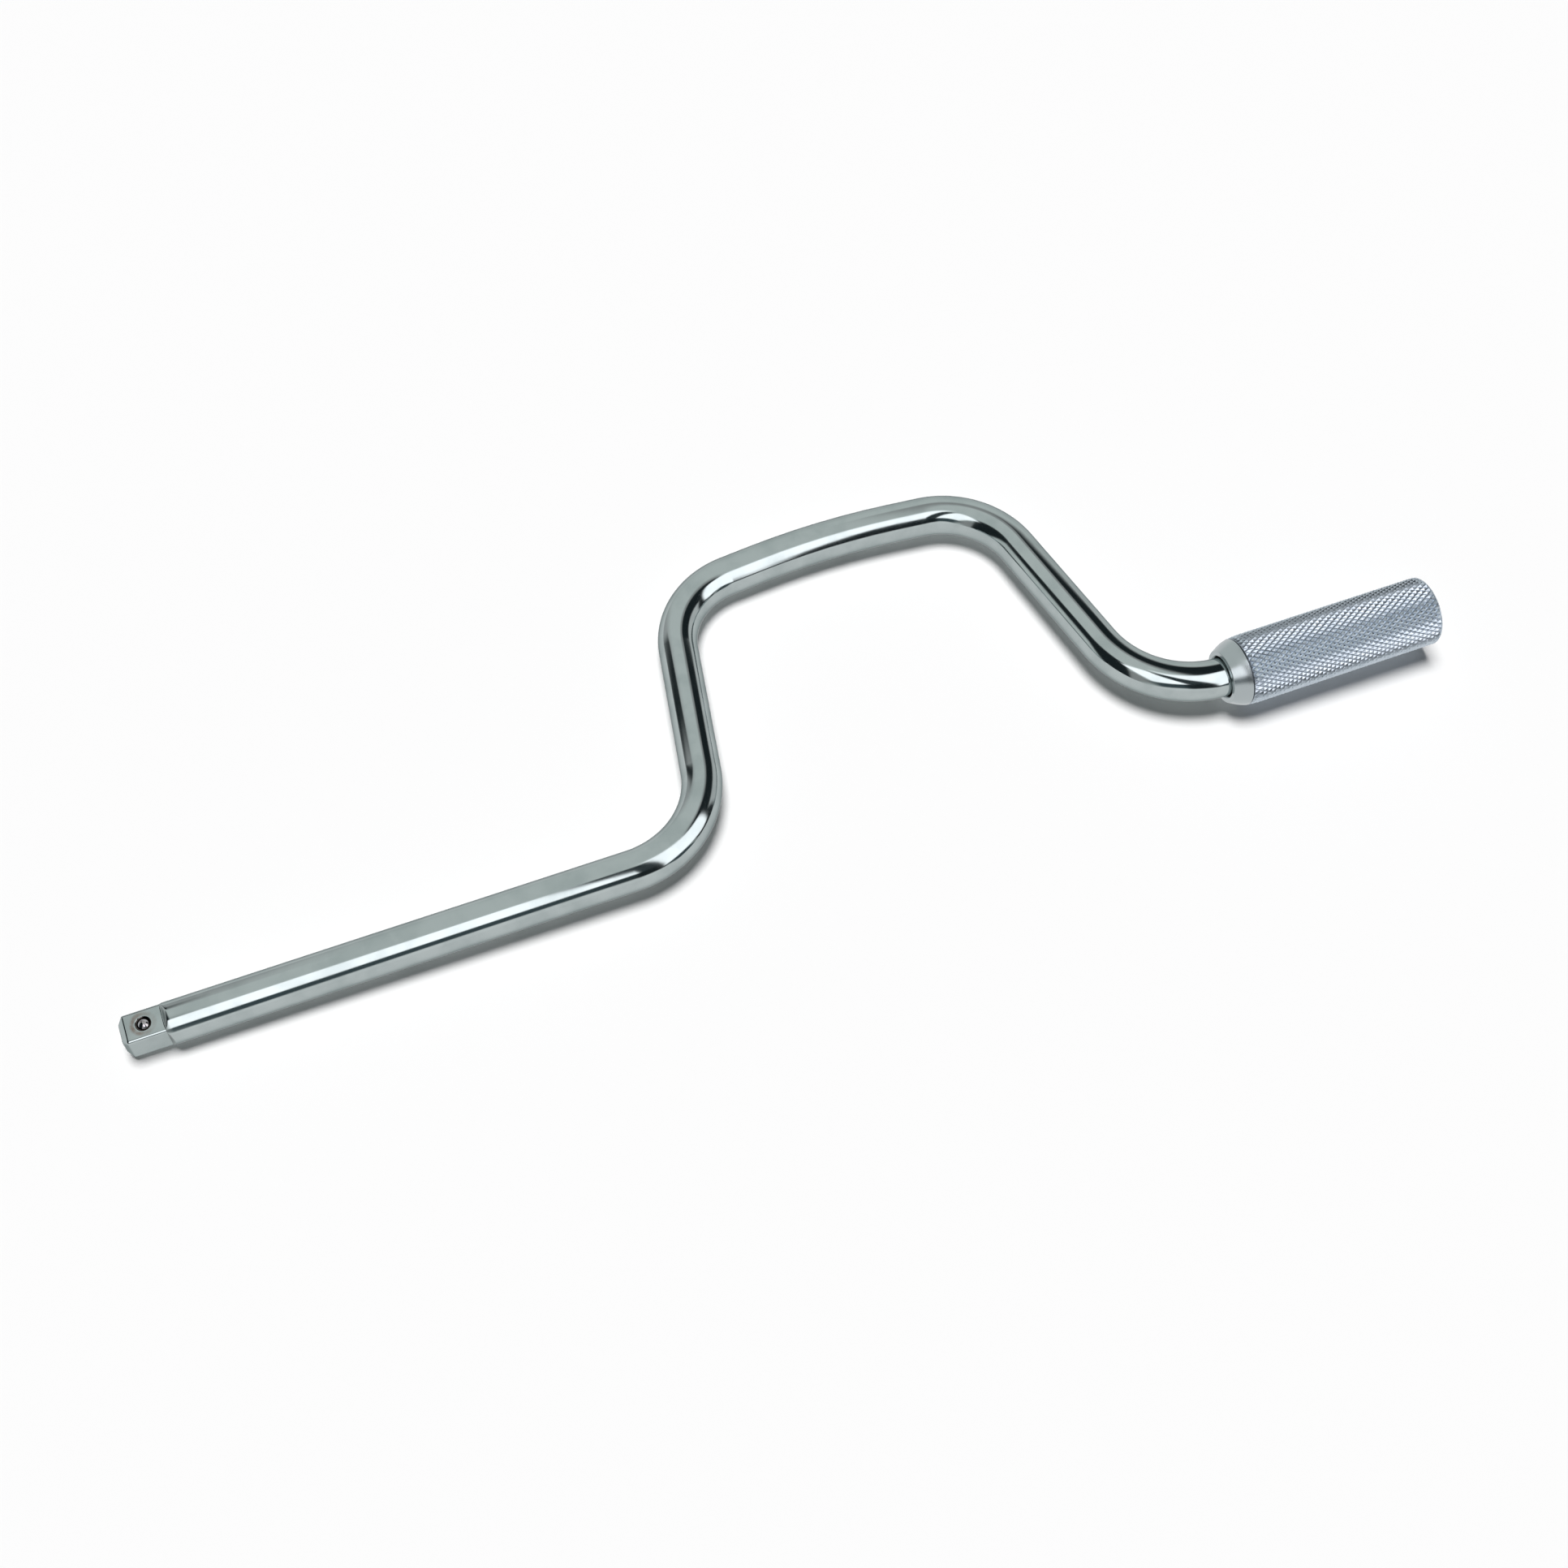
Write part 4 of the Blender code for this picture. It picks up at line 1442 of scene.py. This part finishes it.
@dataclass(frozen=True)
class LightTent:
    """Pale tent over the tool, close enough that each stretch of the bar mirrors its boards at another place.

    Attributes:
        radius: Radius of the tent.
        centre: Middle of the tent on the floor.
        segments: Segments round the tent.
        cloth_colour: Colour of the tent's cloth.
        cloth_light: Brightness of the cloth.
        boards: Boards that the polished bar mirrors.
    """

    radius: float = 550 * MM
    centre: tuple[float, float, float] = (0.0, -100 * MM, 0.0)
    segments: int = 96
    cloth_colour: str = "#FAFFFD"
    cloth_light: float = 0.80
    boards: tuple[Board, ...] = (
        Board("front_wall", 0.98, ((0.0, -1.0, -70.0, 4.0),)),
        Board("back_left_shade", 0.55, ((-1.0, 0.0, -26.0, 10.0), (0.0, 1.0, -47.0, 4.0))),
        Board("front_left_shade", 0.42, ((-1.0, 0.0, -38.0, 4.0), (0.0, -1.0, -18.0, 6.0),
                                         (0.0, 1.0, 60.0, 8.0))),
        Board("right_shade", 0.42, ((1.0, 0.0, -20.0, 3.0), (0.0, 1.0, -9.0, 4.0), (0.0, -1.0, 50.0, 4.0))),
        Board("back_left_flag", 0.03, ((-1.0, 0.0, -31.0, 2.5), (1.0, 0.0, 60.0, 8.0),
                                       (0.433, 0.901, -30.5, 2.0), (-0.433, -0.901, 41.1, 6.0)), FLAG_COLOUR),
        Board("left_flag", 0.03, ((-0.985, -0.174, -27.2, 3.0), (-0.66, 0.75, -15.3, 3.0),
                                  (0.69, -0.72, 65.9, 5.0), (0.0, -1.0, 42.0, 4.0)), FLAG_COLOUR),
        Board("right_flag", 0.03, ((0.99, -0.141, -21.8, 2.5), (0.0, -1.0, 46.5, 3.0), (0.0, 1.0, 40.0, 6.0)),
              FLAG_COLOUR),
        Board("right_window", 0.75, ((1.0, 0.0, -60.0, 4.0), (0.0, 1.0, -4.0, 4.0), (0.0, -1.0, 56.0, 4.0))),
        Board("front_flag", 0.12, ((0.0, -1.0, -44.0, 4.0), (0.0, 1.0, 70.0, 4.0), (1.0, 0.0, 40.0, 10.0)),
              FLAG_COLOUR),
        Board("front_right_flag", 0.03, ((1.0, 0.0, 0.0, 6.0), (0.0, -1.0, -42.0, 3.0), (0.0, 1.0, 73.0, 4.0),
                                         (-1.0, 0.0, 38.0, 4.0)), FLAG_COLOUR),
        Board("front_gap", 0.06, ((1.0, 0.0, 4.0, 1.5), (-1.0, 0.0, 24.0, 3.0), (0.0, -1.0, -4.0, 3.0),
                                  (0.0, 1.0, 46.0, 3.0)), FLAG_COLOUR),
        Board("left_softbox", 2.10, ((0.0, -1.0, -2.5, 3.0), (1.0, 0.0, 34.0, 3.0), (0.0, 1.0, 45.0, 3.5),
                                     (-0.976, -0.217, -6.2, 1.5)), SOFTBOX_COLOUR),
        Board("middle_softbox", 2.00, ((0.911, 0.413, -3.8, 2.0), (0.0, -1.0, 3.0, 4.0),
                                       (-1.0, 0.0, 26.0, 4.0), (0.0, 1.0, 50.0, 5.0)), SOFTBOX_COLOUR),
        Board("right_softbox", 2.10, ((0.911, 0.413, -4.2, 2.5), (0.6, -0.8, -13.0, 3.0),
                                      (-0.485, -0.874, 24.5, 3.0), (-1.0, 0.0, 76.0, 4.0),
                                      (-0.673, 0.74, 71.5, 3.0)), SOFTBOX_COLOUR),
    )

    def cloth(self) -> bpy.types.Material:
        """Make the glowing cloth with its boards.

        Returns:
            The material.
        """
        material = bpy.data.materials.new("lit_tent_cloth")
        add = bare_tree(material)
        spread = self.directions(add)
        # Lit cloth: a pale glow with brighter soft boxes and black boards, which give the chrome
        # its bright and dark bands.
        boards = [(board.share(add, spread), linear(board.colour, board.light)) for board in self.boards]
        colour = layered(add, linear(self.cloth_colour, self.cloth_light), boards)
        add("ShaderNodeOutputMaterial", {"Surface": add("ShaderNodeEmission", {"Color": colour})})
        return material

    def directions(self, add: Adder) -> Socket:
        """Spread the directions from the tent's middle flat, in degrees from overhead.

        Args:
            add: Adds a node to the tree.

        Returns:
            Vector of degrees to the right and to the back.
        """
        place = add("ShaderNodeTexCoord", out="Object")
        offset = add("ShaderNodeVectorMath", {0: place, 1: self.centre}, operation="SUBTRACT")
        way = add("ShaderNodeVectorMath", {0: offset}, operation="NORMALIZE")
        height = add("ShaderNodeSeparateXYZ", {"Vector": way}, "Z")
        angle = add("ShaderNodeMath", {0: height}, operation="ARCCOSINE")
        degrees = add("ShaderNodeMath", {0: angle}, operation="DEGREES")
        level = add("ShaderNodeVectorMath", {0: way, 1: (1.0, 1.0, 0.0)}, operation="MULTIPLY")
        heading = add("ShaderNodeVectorMath", {0: level}, operation="NORMALIZE")
        return add("ShaderNodeVectorMath", {0: heading, "Scale": degrees}, operation="SCALE")

    def build(self) -> None:
        """Set up the tent, which shows in the metal alone."""
        shape = bmesh.new()
        bmesh.ops.create_uvsphere(shape, u_segments=self.segments, v_segments=self.segments // 2,
                                  radius=self.radius)
        bmesh.ops.bisect_plane(shape, geom=[*shape.verts, *shape.edges, *shape.faces], plane_co=ORIGIN,
                               plane_no=Z_AXIS, clear_inner=True)
        bmesh.ops.translate(shape, verts=shape.verts, vec=self.centre)
        tent = placed("light_tent", shape, self.cloth())
        tent.visible_camera = tent.visible_diffuse = tent.visible_shadow = False
        LOG.info("%s: %s", tent.name, ", ".join(board.name for board in self.boards))


@dataclass(frozen=True)
class Studio:
    """White room and floor with a soft key lamp.

    Attributes:
        fill_light: Brightness with which the room fills the shadow on the floor.
        floor_colour: Colour of the floor.
        floor_size: Length of the floor's sides.
        floor_gap: Gap between the floor and the tool's lowest points.
        key_direction: Direction to the key lamp.
        key_spread: Angle in degrees that the key lamp covers.
        key_light: Light of the key lamp in watts for each square metre.
    """

    fill_light: float = 0.05
    floor_colour: str = "#F6F6F6"
    floor_size: float = 40.0
    floor_gap: float = 0.05 * MM
    key_direction: tuple[float, float, float] = (-0.04, 0.16, 0.986)
    key_spread: float = 26.0
    key_light: float = 3.24

    def build_world(self) -> None:
        """Fill the shadow from a white room."""
        world = bpy.context.scene.world = bpy.data.worlds.new("studio_room")
        add = bare_tree(world)
        seen = add("ShaderNodeLightPath", out="Is Diffuse Ray")
        light = add("ShaderNodeMapRange", {"Value": seen, "To Min": 1.0, "To Max": self.fill_light})
        room = add("ShaderNodeBackground", {"Color": linear(self.floor_colour), "Strength": light})
        add("ShaderNodeOutputWorld", {"Surface": room})

    def build_key(self) -> None:
        """Set the soft key lamp that gives the tool its shadow on the floor."""
        lamp = bpy.data.lights.new("key_lamp", "SUN")
        lamp.angle = math.radians(self.key_spread)
        lamp.energy = self.key_light
        key = bpy.data.objects.new("key_lamp", lamp)
        key.location = Vector(self.key_direction).normalized()
        key.rotation_euler = key.location.to_track_quat("Z", "Y").to_euler()
        key.visible_glossy = False
        bpy.context.scene.collection.objects.link(key)

    def build_floor(self) -> None:
        """Lay the white floor under the tool."""
        material = bpy.data.materials.new("matt_white_paper")
        add = bare_tree(material)
        # Matt paper: an even white that takes a soft shadow, and that the metal mirrors as plain white.
        paper = add("ShaderNodeBsdfDiffuse", {"Color": linear(self.floor_colour)})
        mirrored = add("ShaderNodeEmission", {"Color": linear(self.floor_colour)})
        glossy = add("ShaderNodeLightPath", out="Is Glossy Ray")
        surface = add("ShaderNodeMixShader", {"Fac": glossy, 1: paper, 2: mirrored})
        add("ShaderNodeOutputMaterial", {"Surface": surface})
        shape = bmesh.new()
        bmesh.ops.create_grid(shape, x_segments=1, y_segments=1, size=self.floor_size / 2)
        bmesh.ops.translate(shape, verts=shape.verts, vec=(0.0, 0.0, -self.floor_gap))
        placed("floor", shape, material)

    def build(self) -> None:
        """Set up the floor, the room and the key lamp."""
        self.build_floor()
        self.build_world()
        self.build_key()
        bpy.context.scene.view_settings.view_transform = "Standard"


@dataclass(frozen=True)
class PhotoCamera:
    """Camera at the photograph's place.

    Attributes:
        location: Place of the camera in metres.
        turn: Turn of the camera in degrees about X, Y and Z.
        lens: Focal length in millimetres.
        sensor: Width of the sensor in millimetres.
        nearest: Nearest distance that it shows, in metres.
    """

    location: tuple[float, float, float] = (-0.143212, -0.336014, 0.580492)
    turn: tuple[float, float, float] = (30.1719, -1.9295, -21.1680)
    lens: float = 49.543
    sensor: float = 36.0
    nearest: float = 0.01

    def build(self) -> None:
        """Place the camera and make it the scene's own."""
        data = bpy.data.cameras.new("photo_camera")
        data.lens = self.lens
        data.sensor_width = self.sensor
        data.clip_start = self.nearest
        camera = bpy.data.objects.new("photo_camera", data)
        camera.location = self.location
        camera.rotation_euler = Euler([math.radians(angle) for angle in self.turn])
        bpy.context.scene.collection.objects.link(camera)
        bpy.context.scene.camera = camera


def main() -> None:
    """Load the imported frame, build every piece over it, then light and frame the scene."""
    logging.basicConfig(level=logging.INFO, format="%(name)s %(message)s")
    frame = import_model()
    bar = CrankBar()
    tool = ToolFrame.from_record(frame["record"], bar.square_length)
    PhotoCamera().build()
    bar.build(tool)
    detent = Detent()
    detent.build_ball(tool, bar)
    detent.build_spring(tool, bar)
    Grip().build(tool, bar)
    HiddenFittings().dress(frame["nodes"])
    LightTent().build()
    Studio().build()


if __name__ == "__main__":
    main()
